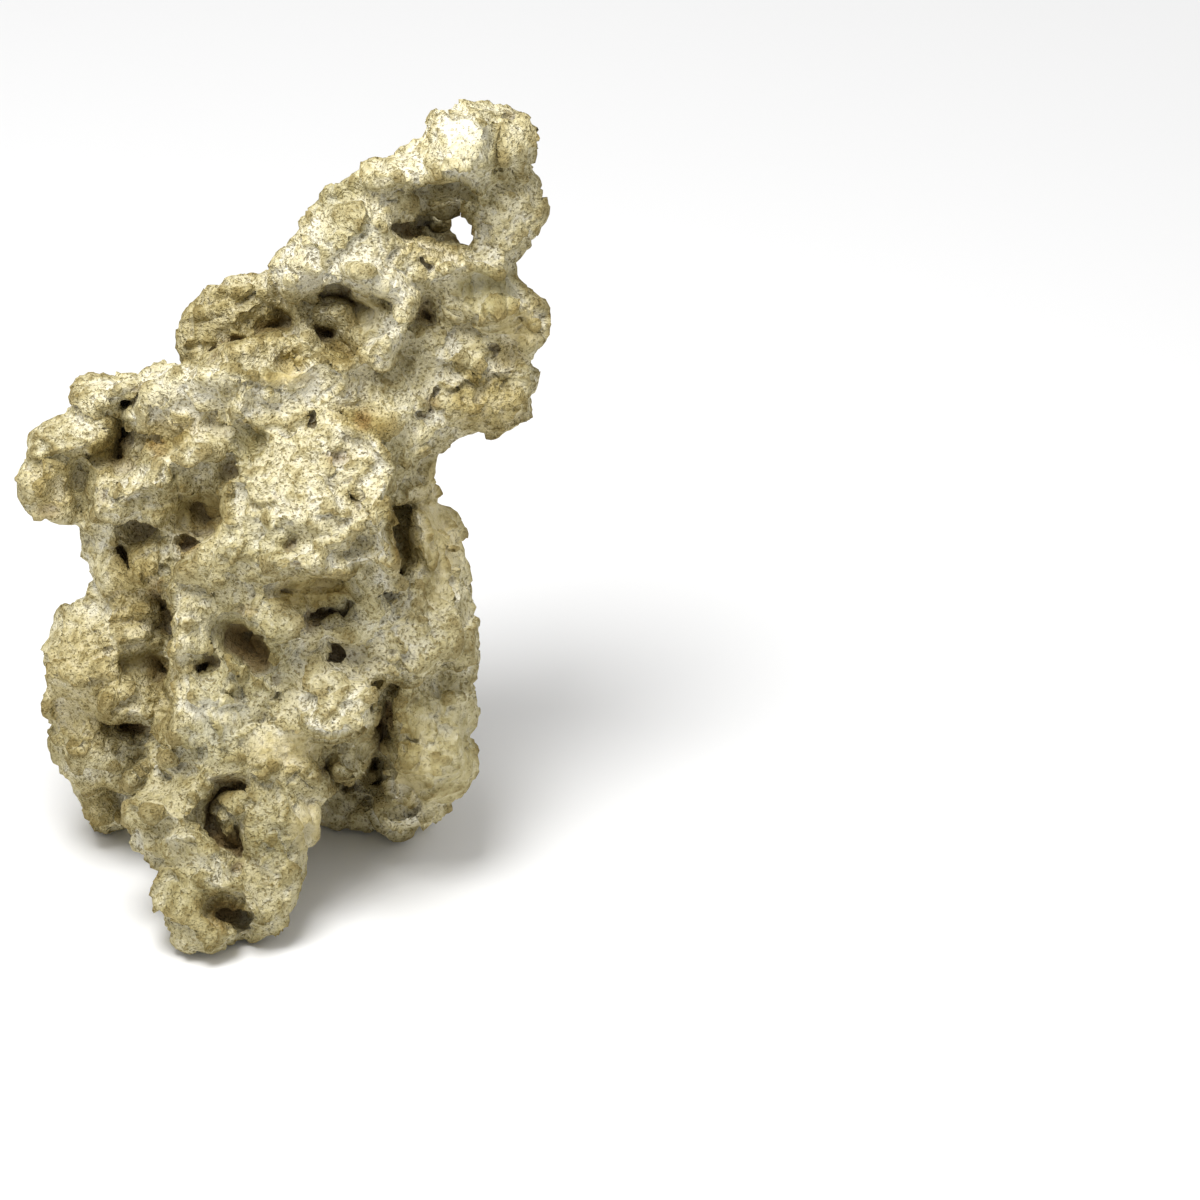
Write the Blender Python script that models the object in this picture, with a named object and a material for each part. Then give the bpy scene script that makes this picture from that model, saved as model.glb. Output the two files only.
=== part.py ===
"""A dry reef rock: one piece of old coral limestone, 25 cm tall, standing on a front foot and two behind.

The rock is drawn as it is seen from the front, 30 degrees above the table. Every form is placed
by how far it lies across and up in that view and by how far back it stands, all in millimetres,
and is built from faceted lumps that are fused, worn, hollowed by scoops and then thinned.
"""

import math
import random

import bmesh
import bpy
import numpy as np
from mathutils import Matrix, Vector, noise
from mathutils.bvhtree import BVHTree

MM = 0.001
VIEW_RISE = math.radians(30.0)
ACROSS = Vector((1.0, 0.0, 0.0))
UP = Vector((0.0, math.sin(VIEW_RISE), math.cos(VIEW_RISE)))
TOWARD = Vector((0.0, -math.cos(VIEW_RISE), math.sin(VIEW_RISE)))

FUSE_VOXEL = 2.2
CARVE_VOXEL = 1.7
TRIANGLES = 9800
SEED = 11

# The two passes of weathering: width of a cell, how far its ridges stand, how far the skin wanders.
COARSE_CELLS = (16.0, 3.0, 2.0)
FINE_CELLS = (8.0, 1.4, 0.5)
# Scattered scoops: how many, how far their middles stand off the stone, and how deep they bite.
BROKEN_FACES = (420, (6.0, 26.0), (1.0, 2.4))
SCALLOPS = (700, (3.0, 8.0), (0.6, 1.5))
# The hidden side has its own ridges and holes, strewn by seeded chance: how many of each, their
# half width or radius, and how many lumps long a ridge is.
BACK_RIDGES = 34
BACK_RIDGE_SIZE = (2.8, 4.2)
BACK_RIDGE_LUMPS = (5, 11)
BACK_CAVES = 26
BACK_CAVE_SIZE = (3.0, 6.5)
STONE_COLOUR = (0.56, 0.49, 0.31, 1.0)
STONE_ROUGHNESS = 0.95

# Each mass: across, up and back of its middle, its radii across, up and deep, and its roll.
MASSES = {
    "lower_core": (-6, 75, 57, 36, 34, 34, 0),
    "middle_core": (0, 115, 60, 36, 34, 32, 0),
    "west_core": (-36, 138, 84, 20, 32, 22, 8),
    "upper_core": (14, 160, 78, 34, 28, 28, 0),
    "top_core": (30, 196, 94, 30, 24, 22, 0),
    "peak_block": (54, 241.5, 82, 13, 12.5, 15, 25),
    "peak_right": (67, 243, 92, 9.5, 12.5, 13, 0),
    "window_pillar": (68, 222, 90, 10, 16, 12, 0),
    "pillar_foot": (64, 209, 88, 8.5, 8, 12, 0),
    "under_peak": (51, 229.5, 94, 14, 7.5, 9, 5),
    "peak_wing": (40, 234, 86, 14, 8.5, 13, 35),
    "west_wing": (27, 228, 88, 14, 10, 13, 22),
    "wing_root": (17.5, 215, 84, 15.5, 12, 14, 15),
    "west_flank": (9.5, 207, 80, 12, 11.5, 14, 0),
    "dome": (27, 213, 80, 14, 11, 13, 0),
    "window_sill": (50, 206, 82, 16, 7, 13, 0),
    "cave_back": (36, 218, 98, 13, 10, 9, 0),
    "grey_boulder": (60, 197, 78, 11, 10, 12, -15),
    "east_slab": (71, 188, 84, 9, 9.5, 11, -25),
    "east_slab_corner": (75, 192, 86, 5, 5, 9, 0),
    "slab_root": (60, 182, 88, 12, 11, 12, 0),
    "east_knob": (66, 169.5, 82, 10.5, 10, 13, 25),
    "east_neck": (50, 166, 78, 15, 14, 17, 25),
    "east_neck_low": (37, 152, 70, 9.5, 14, 16, 0),
    "back_ledge": (-11, 193, 104, 15, 10.5, 14, 12),
    "flank_step": (-1, 201, 92, 5, 5, 9, 0),
    "back_ledge_end": (-26, 186, 103, 10, 10, 11, 0),
    "ledge_root": (-14, 180, 96, 16, 10, 16, 12),
    "shoulder_west": (-34, 169, 74, 14, 8.5, 14, 8),
    "shoulder_slope": (-28, 154, 70, 18, 16, 18, 20),
    "shoulder_middle": (-12, 172, 66, 18, 10, 15, 12),
    "shoulder_east": (10, 174, 66, 18, 9, 13, 10),
    "boulder_back": (-9, 160, 58, 9, 10, 12, 0),
    "ear": (-51, 167.5, 84, 12, 7.5, 10, 0),
    "ear_low": (-56.5, 165.5, 84, 8, 8.5, 9, 0),
    "ear_back": (-44, 158, 98, 14, 14, 9, 0),
    "west_knob_top": (-65.5, 153, 80, 12.5, 8.5, 11, 5),
    "west_knob_low": (-70, 139, 76, 9.5, 10.5, 10, 0),
    "west_wall": (-51, 128, 80, 11.5, 24, 16, 10),
    "west_waist": (-48.5, 113, 80, 8.5, 10, 14, 0),
    "west_crest": (-44, 137, 64, 13, 8, 12, 12),
    "west_crest_tip": (-34, 141, 60, 7, 7.5, 10, 30),
    "front_boulder": (9, 131, 45, 24, 22, 24, 0),
    "front_crown": (12, 151, 56, 20, 11, 18, -10),
    "front_west": (-11, 120, 46, 13, 19, 18, -15),
    "front_west_low": (-25, 108, 46, 8, 11, 15, 0),
    "east_arm": (45, 121.5, 76, 9.5, 20, 15, 6),
    "east_arm_low": (50, 105, 70, 8.5, 14, 16, 0),
    "arm_top": (39, 144, 76, 6.5, 9, 12, 0),
    "arm_back": (34, 122, 98, 14, 20, 12, 0),
    "east_front": (33, 98, 50, 21, 16, 18, 0),
    "east_waist": (50.5, 91, 63, 9, 9.5, 14, 0),
    "holed_face": (-18, 91, 40, 17, 14, 17, 0),
    "tongue": (-20, 68, 31, 13, 12, 13, 0),
    "lower_front": (2, 64, 36, 18, 16, 15, 0),
    "lip": (16, 77, 31, 13, 10, 12, 0),
    "east_lobe": (43, 68, 57, 15, 23, 20, 0),
    "east_lobe_low": (46, 58, 57, 12, 12, 16, 15),
    "east_lobe_tip": (37.5, 45.5, 58, 11.5, 11, 12, 0),
    "crevice_back": (27, 58, 86, 10, 16, 12, 0),
    "west_lobe": (-52, 88, 68, 21, 15, 20, 20),
    "west_lobe_crown": (-61.5, 94.5, 74, 13, 10.5, 14, 25),
    "west_lobe_root": (-40, 96, 78, 20, 16, 18, 0),
    "west_lobe_low": (-58, 72, 68, 12, 11, 14, 0),
    "west_lobe_east": (-42, 76, 66, 14, 14, 16, 0),
    "west_lobe_foot": (-50, 59, 64, 15, 9, 14, -10),
    "west_shin": (-65, 67, 70, 5.5, 6.5, 8, 0),
    "west_shin_top": (-67.5, 75, 70, 6, 5, 8, 0),
    "west_toe": (-54.5, 46, 68, 7, 11, 11, 0),
    "west_spur": (-63, 56, 69, 6.5, 4, 8, -15),
    "foot_west": (-31, 45, 28, 17.5, 13, 16, 10),
    "foot_east": (-5, 44, 28, 16, 17, 15, 0),
    "foot_bridge": (-16, 30, 22, 20, 9, 12, -15),
    "foot_side": (-40, 35.5, 28, 10.5, 8.5, 9, 0),
    "foot_heel": (-22.5, 19, 14, 18.5, 11.5, 13, 0),
    "foot_sole": (-11.5, 12.5, 13, 12.5, 9.5, 12, 0),
    "foot_tip": (-23, 7.5, 6, 9.5, 10, 9, 0),
    "foot_pad": (-23, 4.5, 10, 8.5, 7.5, 9, 0),
    "foot_spur": (-2, 24, 18, 8.5, 14, 10, -10),
    "foot_spur_top": (4.5, 34, 24, 7, 10, 10, 0),
    "east_back_foot": (18, 47, 83, 11, 13, 12, 0),
    "east_heel": (34.5, 46.5, 80, 10.5, 10.5, 12, 0),
    "west_heel": (-52, 49.5, 83, 9, 13, 10, 0),
    "back_foot": (-24, 68, 108, 20, 22, 24, 20),
    "back_foot_west": (-38, 88, 100, 14, 20, 18, -10),
    "back_foot_middle": (0, 84, 108, 22, 20, 22, 0),
    "back_foot_east": (24, 67, 106, 18, 24, 20, -15),
    "back_waist": (-2, 108, 108, 34, 22, 24, 10),
    "back_west": (-28, 128, 104, 20, 24, 20, 15),
    "back_middle": (2, 136, 108, 30, 26, 23, 0),
    "back_east": (24, 118, 104, 18, 28, 20, -10),
    "back_high": (8, 164, 108, 28, 22, 20, 12),
    "back_high_east": (32, 172, 104, 22, 20, 18, -10),
    "back_top": (34, 198, 108, 24, 18, 14, 10),
    "back_top_east": (52, 206, 102, 14, 16, 13, 0),
}

# Each hollow or broken face of the front is bitten out by one lump: across and up of its middle,
# its radii across, up and deep, how far its middle stands off the skin, and its roll.
HOLLOWS = {
    "peak_face": (55, 241, 13, 15, 30, 28.5, 20),
    "peak_recess": (48, 228, 10, 5, 10, 1.0, 12),
    "peak_groove": (63.5, 240, 2.4, 12, 7, 2.5, 3),
    "wing_hollow": (34, 226, 7, 5, 8, 3, 15),
    "wing_face": (18, 227, 10, 7, 12, 10.0, 35),
    "pillar_hollow": (66, 214, 6, 6, 7, 4.5, 0),
    "boulder_face": (60, 198, 9, 7, 14, 12.0, -20),
    "slab_face": (71, 186, 6, 6, 10, 7.5, 0),
    "under_slab": (66, 178, 8, 2.6, 8, 3.0, -5),
    "knob_face": (66, 167, 9, 7, 16, 13.5, 10),
    "neck_hollow": (45, 165, 4, 4.5, 7, 1.5, 0),
    "under_boulder": (50, 187, 6, 5, 8, 4.0, 0),
    "crevice_by_boulder": (43.5, 192, 2.8, 6, 9, 1.5, -15),
    "ledge_hollow": (-5, 188, 9, 4, 10, 1.5, 12),
    "ledge_notch": (-27, 182, 5, 4, 8, 4.0, 0),
    "horn_hollow_upper": (20, 194, 9, 5.5, 10, 2.0, -10),
    "horn_hollow_lower": (17, 183, 9, 6, 10, 2.5, 0),
    "shoulder_hollow": (2, 178, 5, 3.5, 7, 1.0, 0),
    "shoulder_face": (-22, 164, 10, 6, 12, 10.0, 20),
    "shoulder_notch": (-4, 166, 4, 6, 6, 3.0, 25),
    "shoulder_dip": (20, 163, 7, 5, 8, 5.0, 0),
    "slope_hollow": (-38, 152, 8, 7, 10, 4.5, 0),
    "strand_hollow": (-22, 144, 10, 6, 12, 4.5, 20),
    "boulder_west_face": (-11, 154, 6, 7, 10, 7.0, 20),
    "niche": (-42, 127, 7, 6.5, 12, 2.0, 0),
    "dark_hollow": (-24, 131, 9, 7, 16, 1.0, 20),
    "boulder_face_west": (-4, 138, 8, 9, 20, 18.0, 0),
    "boulder_face_low": (4, 122, 12, 7, 12, 9.0, 0),
    "boulder_dip": (20, 141, 8, 6, 9, 6.5, 30),
    "shelf_hollow": (9, 109, 13, 6, 14, 2.0, 12),
    "arm_crevice": (36, 124, 6, 14, 18, 1.0, 12),
    "arm_hollow": (42, 108, 3.5, 8, 10, 1.5, 10),
    "two_hole_hollow": (-15, 94, 14, 8, 13, 4.5, -10),
    "front_dip": (14, 91, 7, 5, 8, 4.5, 0),
    "column_groove": (-26, 109, 2.4, 10, 7, 1.5, 5),
    "column_groove_west": (-36, 105, 3.0, 12, 9, 1.5, 8),
    "lobe_hollow": (-42, 87, 10, 6, 11, 3.0, 0),
    "lobe_top_dip": (-60, 90, 6, 5, 7, 4.0, 0),
    "lobe_valley": (-36, 82, 4, 15, 13, 0.5, 0),
    "lobe_slit": (-50, 68.5, 8, 4, 12, 1.0, -5),
    "shin_dip": (-63, 70, 4, 5, 7, 3.0, 0),
    "under_lip": (15, 60, 12, 6, 14, 2.0, -10),
    "lobe_crevice": (29, 64, 4.5, 13, 20, 0.5, -5),
    "lobe_face": (45, 70, 12, 17, 40, 38.0, 0),
    "lobe_under": (35, 45, 8, 5, 8, 3.5, 0),
    "foot_basin": (-18, 42, 10, 10.5, 14, 1.0, 0),
    "heel_hollow": (-17, 14, 8.5, 5.5, 12, 1.5, -20),
    "foot_face": (7, 41, 6, 8, 14, 12.0, 0),
    "foot_west_dip": (-38, 43, 6, 7, 7, 4.5, 0),
    "under_tongue": (-30, 58, 8, 3.5, 10, 1.0, 30),
    "tongue_face": (-22, 66, 9, 8, 20, 18.0, 0),
}

# Ridges and horns that stand on the skin: half width, height, then their way as across and up.
RIDGES = {
    "horn": (3.6, 4.5, [(18, 202), (23, 204), (28, 203), (32, 199), (34, 193), (33, 187), (29, 181), (25, 177)]),
    "horn_wall": (3.4, 3.0, [(35, 201), (39, 197), (39, 190), (36, 184)]),
    "cave_bar": (3.2, 3.2, [(3, 201), (3, 195), (5, 190), (7, 185), (4, 181)]),
    "cave_bridge": (3.0, 3.0, [(9, 191), (15, 190), (20, 192), (26, 196)]),
    "ledge_crest": (3.4, 3.4, [(-18, 179), (-12, 181), (-5, 184), (2, 185)]),
    "ledge_rim": (3.2, 2.6, [(-29, 189), (-23, 194), (-14, 199), (-4, 202)]),
    "shoulder_rim": (3.4, 3.0, [(-37, 173), (-27, 174), (-18, 171), (-8, 172), (4, 174), (16, 174), (27, 173), (35, 176)]),
    "shoulder_spur": (3.2, 3.0, [(-8, 172), (-10, 166), (-16, 161)]),
    "neck_spur": (3.2, 3.0, [(33, 173), (34, 165), (31, 158)]),
    "crest_west": (3.6, 4.0, [(-55, 138), (-49, 139), (-42, 139), (-37, 142), (-33, 146)]),
    "crest_strand": (3.0, 3.0, [(-33, 146), (-27, 150), (-19, 151), (-15, 158)]),
    "niche_bar": (3.2, 3.4, [(-35, 137), (-35, 129), (-37, 122), (-40, 114), (-39, 106)]),
    "niche_sill": (3.0, 2.6, [(-50, 121), (-45, 119), (-40, 119)]),
    "boulder_west_rim": (3.4, 4.0, [(-8, 149), (-14, 142), (-16, 135), (-22, 126), (-25, 120), (-31, 113)]),
    "boulder_east_rim": (3.0, 3.2, [(28, 152), (31, 142), (28, 134), (30, 125), (32, 117)]),
    "boulder_low_rim": (3.0, 3.0, [(-4, 119), (4, 116), (12, 115), (20, 113), (28, 114), (34, 116)]),
    "shelf_rim": (3.2, 3.4, [(-30, 101), (-22, 103), (-14, 101), (-6, 98), (3, 100), (12, 97), (20, 98)]),
    "hole_bar": (3.0, 3.2, [(-33, 92), (-31, 86), (-28, 80), (-19, 81), (-14, 86), (-16, 92)]),
    "lip_rim": (3.4, 3.8, [(2, 73), (6, 70), (11, 68), (18, 68), (25, 70), (28, 76), (32, 82), (39, 86)]),
    "lobe_edge": (3.0, 3.0, [(36, 84), (35, 76), (34, 66), (33, 56), (30, 47)]),
    "tongue_rim": (3.2, 3.4, [(-30, 74), (-32, 67), (-32, 61), (-25, 57), (-14, 56), (-6, 58)]),
    "lobe_nose": (3.6, 4.5, [(-54, 74), (-49, 75), (-43, 78)]),
    "lobe_rim": (3.0, 3.2, [(-52, 96), (-50, 89), (-49, 82), (-53, 76)]),
    "slit_rim": (3.2, 3.2, [(-63, 61), (-57, 62), (-50, 62), (-43, 62), (-38, 65)]),
    "foot_rim": (3.2, 3.6, [(-48, 44), (-46, 51), (-40, 55), (-32, 54), (-28, 47), (-29, 39)]),
    "foot_ridge": (3.8, 4.2, [(-38, 32), (-33, 35), (-27, 33), (-21, 28), (-15, 24), (-10, 18), (-8, 12)]),
    "foot_wall": (3.2, 3.0, [(-8, 54), (-6, 46), (-5, 38), (-4, 30)]),
    "slab_rim": (2.6, 2.2, [(64, 183), (66, 190), (72, 193), (78, 189)]),
    "boulder_rim": (2.8, 2.2, [(46, 202), (54, 204), (63, 203), (69, 197)]),
    "neck_ledge": (2.8, 2.4, [(42, 178), (50, 178), (58, 176), (65, 178)]),
}

# Knobs: across, up, radius, and how far each stands proud.
KNOBS = {
    "spike": (-74.5, 143, 2.8, 2.0),
    "prong": (-14.5, 42.5, 5.2, 8.0),
    "step": (38, 111, 5, 3.0),
    "lobe_spur": (54.5, 86, 3.0, 2.0),
}


# Caves and the window: across, up, radii across and up, roll, start before the skin and reach behind.
CAVES = {
    "window": (52.5, 216.5, 3.2, 3.8, -20, 20, 80),
    "window_cave": (36, 217, 5.5, 3.4, 0, 6, 16),
    "window_channel": (44, 217.5, 6.5, 4.0, 10, 6, 10),
    "upper_cave": (14.5, 197, 7.5, 3.4, -8, 6, 18),
    "lower_cave": (13, 186, 4.6, 3.6, 10, 6, 18),
    "ledge_cave": (-6, 186.5, 8.5, 3.0, 15, 6, 16),
    "ledge_hole": (-19, 180.5, 2.6, 2.4, 0, 6, 16),
    "ledge_hole_east": (-13, 183, 3.2, 2.4, 0, 6, 16),
    "ear_gap": (-48.5, 155, 3.4, 9.5, -6, 6, 20),
    "ear_hole": (-45.5, 165, 4.5, 3.2, -10, 6, 12),
    "west_hole": (-47, 118.5, 2.8, 5.0, 25, 6, 16),
    "eye": (-28.5, 123.5, 3.6, 2.8, 0, 6, 12),
    "hollow_heart": (-22, 130.5, 5.0, 3.6, 10, 8, 16),
    "arm_cave": (35.5, 124, 3.6, 9.5, 14, 8, 22),
    "shelf_cave": (13, 103, 7.5, 3.4, 10, 6, 18),
    "shelf_cave_end": (20, 103, 3.2, 5.0, 0, 6, 12),
    "west_eye": (-23, 87.5, 4.2, 4.0, 0, 6, 14),
    "east_eye": (-8.5, 92, 5.6, 5.6, 20, 6, 12),
    "lobe_cave": (-46, 68, 5.4, 4.2, 0, 6, 16),
    "basin_arc_top": (-16.5, 50, 6.5, 2.4, 0, 6, 16),
    "basin_arc_west": (-22.5, 43, 2.6, 7.5, 10, 6, 12),
    "basin_arc_low": (-13, 34.5, 3.4, 4.2, 20, 8, 16),
    "lobe_crevice_cave": (31, 68, 2.4, 5.5, -10, 6, 16),
    "under_cave": (15, 53, 4.5, 3.6, 0, 8, 16),
}


# The middle of the upper half of the rock, which the holes of its back are aimed at.
BACK_MIDDLE = Vector((0.0, 70.0, 110.0)) * MM
WANDER_SHIFTS = (Vector((3.1, 7.7, 1.3)), Vector((11.9, 2.2, 5.8)), Vector((6.4, 13.6, 9.1)))
# The table lies this far under the point where across, up and back are nought.
TABLE_DROP = 3.0


def point(across, up, back):
    """A place given across and up in the front view, and back from the front foot."""
    height = (up - back * math.sin(VIEW_RISE)) / math.cos(VIEW_RISE)
    return Vector((across, back, height)) * MM


def view_turn(roll):
    """Axes of the front view, rolled in the plane of the picture by so many degrees."""
    axes = Matrix((ACROSS, UP, TOWARD)).transposed().to_4x4()
    return axes @ Matrix.Rotation(math.radians(roll), 4, "Z")


def add_lump(bm, centre, radii, turn, rng, detail=3, roughness=0.12):
    """One faceted lump: an icosphere with its corners pushed in and out, then scaled and turned."""
    made = bmesh.ops.create_icosphere(bm, subdivisions=detail, radius=1.0)
    offset = Vector((rng.uniform(-50, 50), rng.uniform(-50, 50), rng.uniform(-50, 50)))
    scale = Matrix.Diagonal((*(r * MM for r in radii), 1.0))
    place = Matrix.Translation(centre) @ turn @ scale
    for vert in made["verts"]:
        bump = noise.noise(vert.co * 2.2 + offset)
        vert.co = place @ (vert.co * (1.0 + roughness * 2.0 * bump))


def mesh_of(bm, name):
    mesh = bpy.data.meshes.new(name)
    bm.to_mesh(mesh)
    bm.free()
    return mesh


def helper(mesh):
    obj = bpy.data.objects.new(mesh.name, mesh)
    bpy.context.scene.collection.objects.link(obj)
    return obj


def evaluated(obj):
    """The object's mesh with its modifiers applied; the helper object is removed."""
    graph = bpy.context.evaluated_depsgraph_get()
    mesh = bpy.data.meshes.new_from_object(obj.evaluated_get(graph))
    bpy.data.objects.remove(obj)
    return mesh


def fused(mesh, voxel, smoothing):
    """Overlapping lumps as one skin of small even faces, with its creases rounded so many times."""
    obj = helper(mesh)
    remesh = obj.modifiers.new("fuse", "REMESH")
    remesh.mode = "VOXEL"
    remesh.voxel_size = voxel * MM
    if smoothing:
        smooth = obj.modifiers.new("round", "SMOOTH")
        smooth.factor = 0.5
        smooth.iterations = smoothing
    return evaluated(obj)


def points_of(mesh):
    points = np.empty(len(mesh.vertices) * 3)
    mesh.vertices.foreach_get("co", points)
    return points.reshape(-1, 3)


def put_points(mesh, points):
    mesh.vertices.foreach_set("co", points.ravel())
    mesh.update()


def skin_tree(mesh):
    bm = bmesh.new()
    bm.from_mesh(mesh)
    tree = BVHTree.FromBMesh(bm)
    bm.free()
    return tree


def skin_at(tree, across, up):
    """The nearest point of the skin as the front view sees it, or None past the outline."""
    start = point(across, up, 0) + TOWARD * 0.5
    return tree.ray_cast(start, -TOWARD)[0]


def dice(kind, index):
    """Random numbers of one item's own, so that no item's numbers hang on what another one met."""
    return random.Random(f"{SEED} {kind} {index}")


def random_direction(rng):
    return Vector((rng.gauss(0, 1), rng.gauss(0, 1), rng.gauss(0, 1))).normalized()


def build_masses():
    bm = bmesh.new()
    for name, (across, up, back, wide, tall, deep, roll) in MASSES.items():
        add_lump(bm, point(across, up, back), (wide, tall, deep), view_turn(roll), dice("mass", name))
    return fused(mesh_of(bm, "masses"), FUSE_VOXEL, 2)


def worn(mesh, kind, count, reach, bite):
    """Shallow round scoops scattered over the whole skin: its broken and dissolved faces.

    Each is a ball whose middle stands off the stone and that bites a millimetre or two into the
    nearest skin; the skin inside the ball moves back to its wall.
    """
    tree = skin_tree(mesh)
    points = points_of(mesh)
    low, high = Vector(points.min(axis=0)), Vector(points.max(axis=0))
    for index in range(count):
        rng = dice(kind, index)
        inside_box = Vector([rng.uniform(a, b) for a, b in zip(low, high)])
        aim = random_direction(rng)
        skin, facing, _, _ = tree.ray_cast(inside_box + aim * 0.5, -aim)
        if skin is None:
            continue
        centre = skin + (facing + aim * 0.4).normalized() * rng.uniform(*reach) * MM
        nearest, facing, _, distance = tree.find_nearest(centre)
        if (centre - nearest).dot(facing) > 0.0:
            away = points - np.array(centre)
            length = np.linalg.norm(away, axis=1)
            radius = distance + rng.uniform(*bite) * MM
            bitten = length < radius
            points[bitten] = np.array(centre) + away[bitten] * (radius / length[bitten, None])
    put_points(mesh, points)
    return mesh


def along(way, step):
    """Places at even steps along a line of points."""
    places = []
    for (x0, y0), (x1, y1) in zip(way, way[1:]):
        count = max(1, round(math.hypot(x1 - x0, y1 - y0) / step))
        places += [(x0 + (x1 - x0) * i / count, y0 + (y1 - y0) * i / count) for i in range(count)]
    return places + [way[-1]]


def back_place(tree, rng):
    """A place on the hidden side and the way its skin faces, or None where the front is hit."""
    aim = random_direction(rng)
    aim.y = abs(aim.y)
    middle = BACK_MIDDLE + Vector((0.0, 0.0, rng.uniform(-80.0, 60.0))) * MM
    skin, facing, _, _ = tree.ray_cast(middle + aim * 0.5, -aim)
    return (skin, facing) if skin is not None and facing.dot(TOWARD) < 0.1 else (None, None)


def add_back_ridge(bm, tree, rng):
    """A ridge that wanders over the hidden side."""
    place, facing = back_place(tree, rng)
    if place is None:
        return
    heading = random_direction(rng)
    size = rng.uniform(*BACK_RIDGE_SIZE)
    for _ in range(rng.randint(*BACK_RIDGE_LUMPS)):
        add_lump(bm, place + facing * size * 0.1 * MM, (size, size, size), view_turn(0), rng, 2)
        heading = (heading + random_direction(rng) * 0.45).normalized()
        along_skin = (heading - facing * heading.dot(facing)).normalized()
        place, facing, _, _ = tree.find_nearest(place + along_skin * size * 0.9 * MM)


def with_ridges(mesh):
    """Ridges, horns and knobs as chains of small lumps sunk in the skin, fused with it."""
    tree = skin_tree(mesh)
    bm = bmesh.new()
    bm.from_mesh(mesh)
    for name, (half, height, way) in RIDGES.items():
        rng = dice("ridge", name)
        for across, up in along(way, half * 0.8):
            skin = skin_at(tree, across, up)
            if skin is not None:
                size = half * rng.uniform(0.85, 1.2)
                add_lump(bm, skin - TOWARD * (size - height) * MM, (size, size, size), view_turn(0), rng, 2)
    for index in range(BACK_RIDGES):
        add_back_ridge(bm, tree, dice("strand", index))
    for name, (across, up, size, proud) in KNOBS.items():
        rng = dice("knob", name)
        skin = skin_at(tree, across, up)
        if skin is not None:
            add_lump(bm, skin - TOWARD * (size - proud) * MM, (size, size, size), view_turn(0), rng, 2)
    return fused(mesh_of(bm, "ridged"), CARVE_VOXEL, 0)


def hollow_cutters(tree):
    """Everything that is cut out of the rock, fused into one body."""
    bm = bmesh.new()
    for name, (across, up, wide, tall, deep, stand, roll) in HOLLOWS.items():
        rng = dice("hollow", name)
        skin = skin_at(tree, across, up)
        if skin is not None:
            add_lump(bm, skin + TOWARD * stand * MM, (wide, tall, deep), view_turn(roll), rng)
    for name, (across, up, wide, tall, roll, before, reach) in CAVES.items():
        rng = dice("cave", name)
        skin = skin_at(tree, across, up)
        if skin is not None:
            centre = skin - TOWARD * (reach - before) / 2 * MM
            add_lump(bm, centre, (wide, tall, (reach + before) / 2), view_turn(roll), rng)
    for index in range(BACK_CAVES):
        rng = dice("back cave", index)
        skin, facing = back_place(tree, rng)
        if skin is not None:
            size = rng.uniform(*BACK_CAVE_SIZE)
            turn = facing.to_track_quat("Z", "Y").to_matrix().to_4x4()
            add_lump(bm, skin, (size, size * rng.uniform(0.6, 1.0), size * 1.6), turn, rng)
    return fused(mesh_of(bm, "hollows"), 1.4, 0)


def without(mesh, cutting):
    """The mesh with another closed mesh cut out of it."""
    cutter = helper(cutting)
    cutter.hide_render = True
    cutter.display_type = "WIRE"
    rock = helper(mesh)
    cut = rock.modifiers.new("cut", "BOOLEAN")
    cut.operation = "DIFFERENCE"
    cut.solver = "EXACT"
    cut.object = cutter
    mesh = evaluated(rock)
    bpy.data.objects.remove(cutter)
    return mesh


def stood(mesh):
    """The mesh cut off level with the table, which leaves a flat under each foot."""
    bm = bmesh.new()
    bmesh.ops.create_cube(bm, size=1.0)
    for vert in bm.verts:
        vert.co.z -= 0.5 + TABLE_DROP * MM
    return without(mesh, mesh_of(bm, "table"))


def wander(place):
    """A smooth push in all three directions that changes from place to place."""
    return Vector([noise.noise(place + shift) for shift in WANDER_SHIFTS])


def weathered(mesh, size, depth, rise):
    """The skin drawn up into a net of ridges round scooped cells, and pushed about.

    size is the width of a cell in millimetres, depth how far the ridges stand over the cells and
    rise how far the skin as a whole wanders.
    """
    normals = [vert.normal.copy() for vert in mesh.vertices]
    for vert, normal in zip(mesh.vertices, normals):
        place = vert.co / (size * MM)
        drift = wander(place * 0.6)
        cell = noise.voronoi(place + drift * 0.7)[0][0]
        vert.co += normal * (cell - 0.62) * depth * 2.0 * MM
        vert.co += wander(place * 0.45) * rise * MM
    return mesh


def thinned(mesh, triangles):
    obj = helper(mesh)
    thin = obj.modifiers.new("thin", "DECIMATE")
    thin.ratio = triangles / sum(len(face.vertices) - 2 for face in mesh.polygons)
    return evaluated(obj)


def centred(mesh):
    """The mesh moved so that the middle of its footprint box is the origin, with its flats on z = 0."""
    points = points_of(mesh)
    low, high = points.min(axis=0), points.max(axis=0)
    middle = (low + high) / 2
    points -= (middle[0], middle[1], low[2])
    put_points(mesh, points)
    return mesh


def stone_material():
    material = bpy.data.materials.new("reef_limestone")
    material.use_nodes = True
    surface = material.node_tree.nodes["Principled BSDF"]
    surface.inputs["Base Color"].default_value = STONE_COLOUR
    surface.inputs["Roughness"].default_value = STONE_ROUGHNESS
    return material


def clear_scene():
    for obj in list(bpy.data.objects):
        bpy.data.objects.remove(obj)


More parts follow.
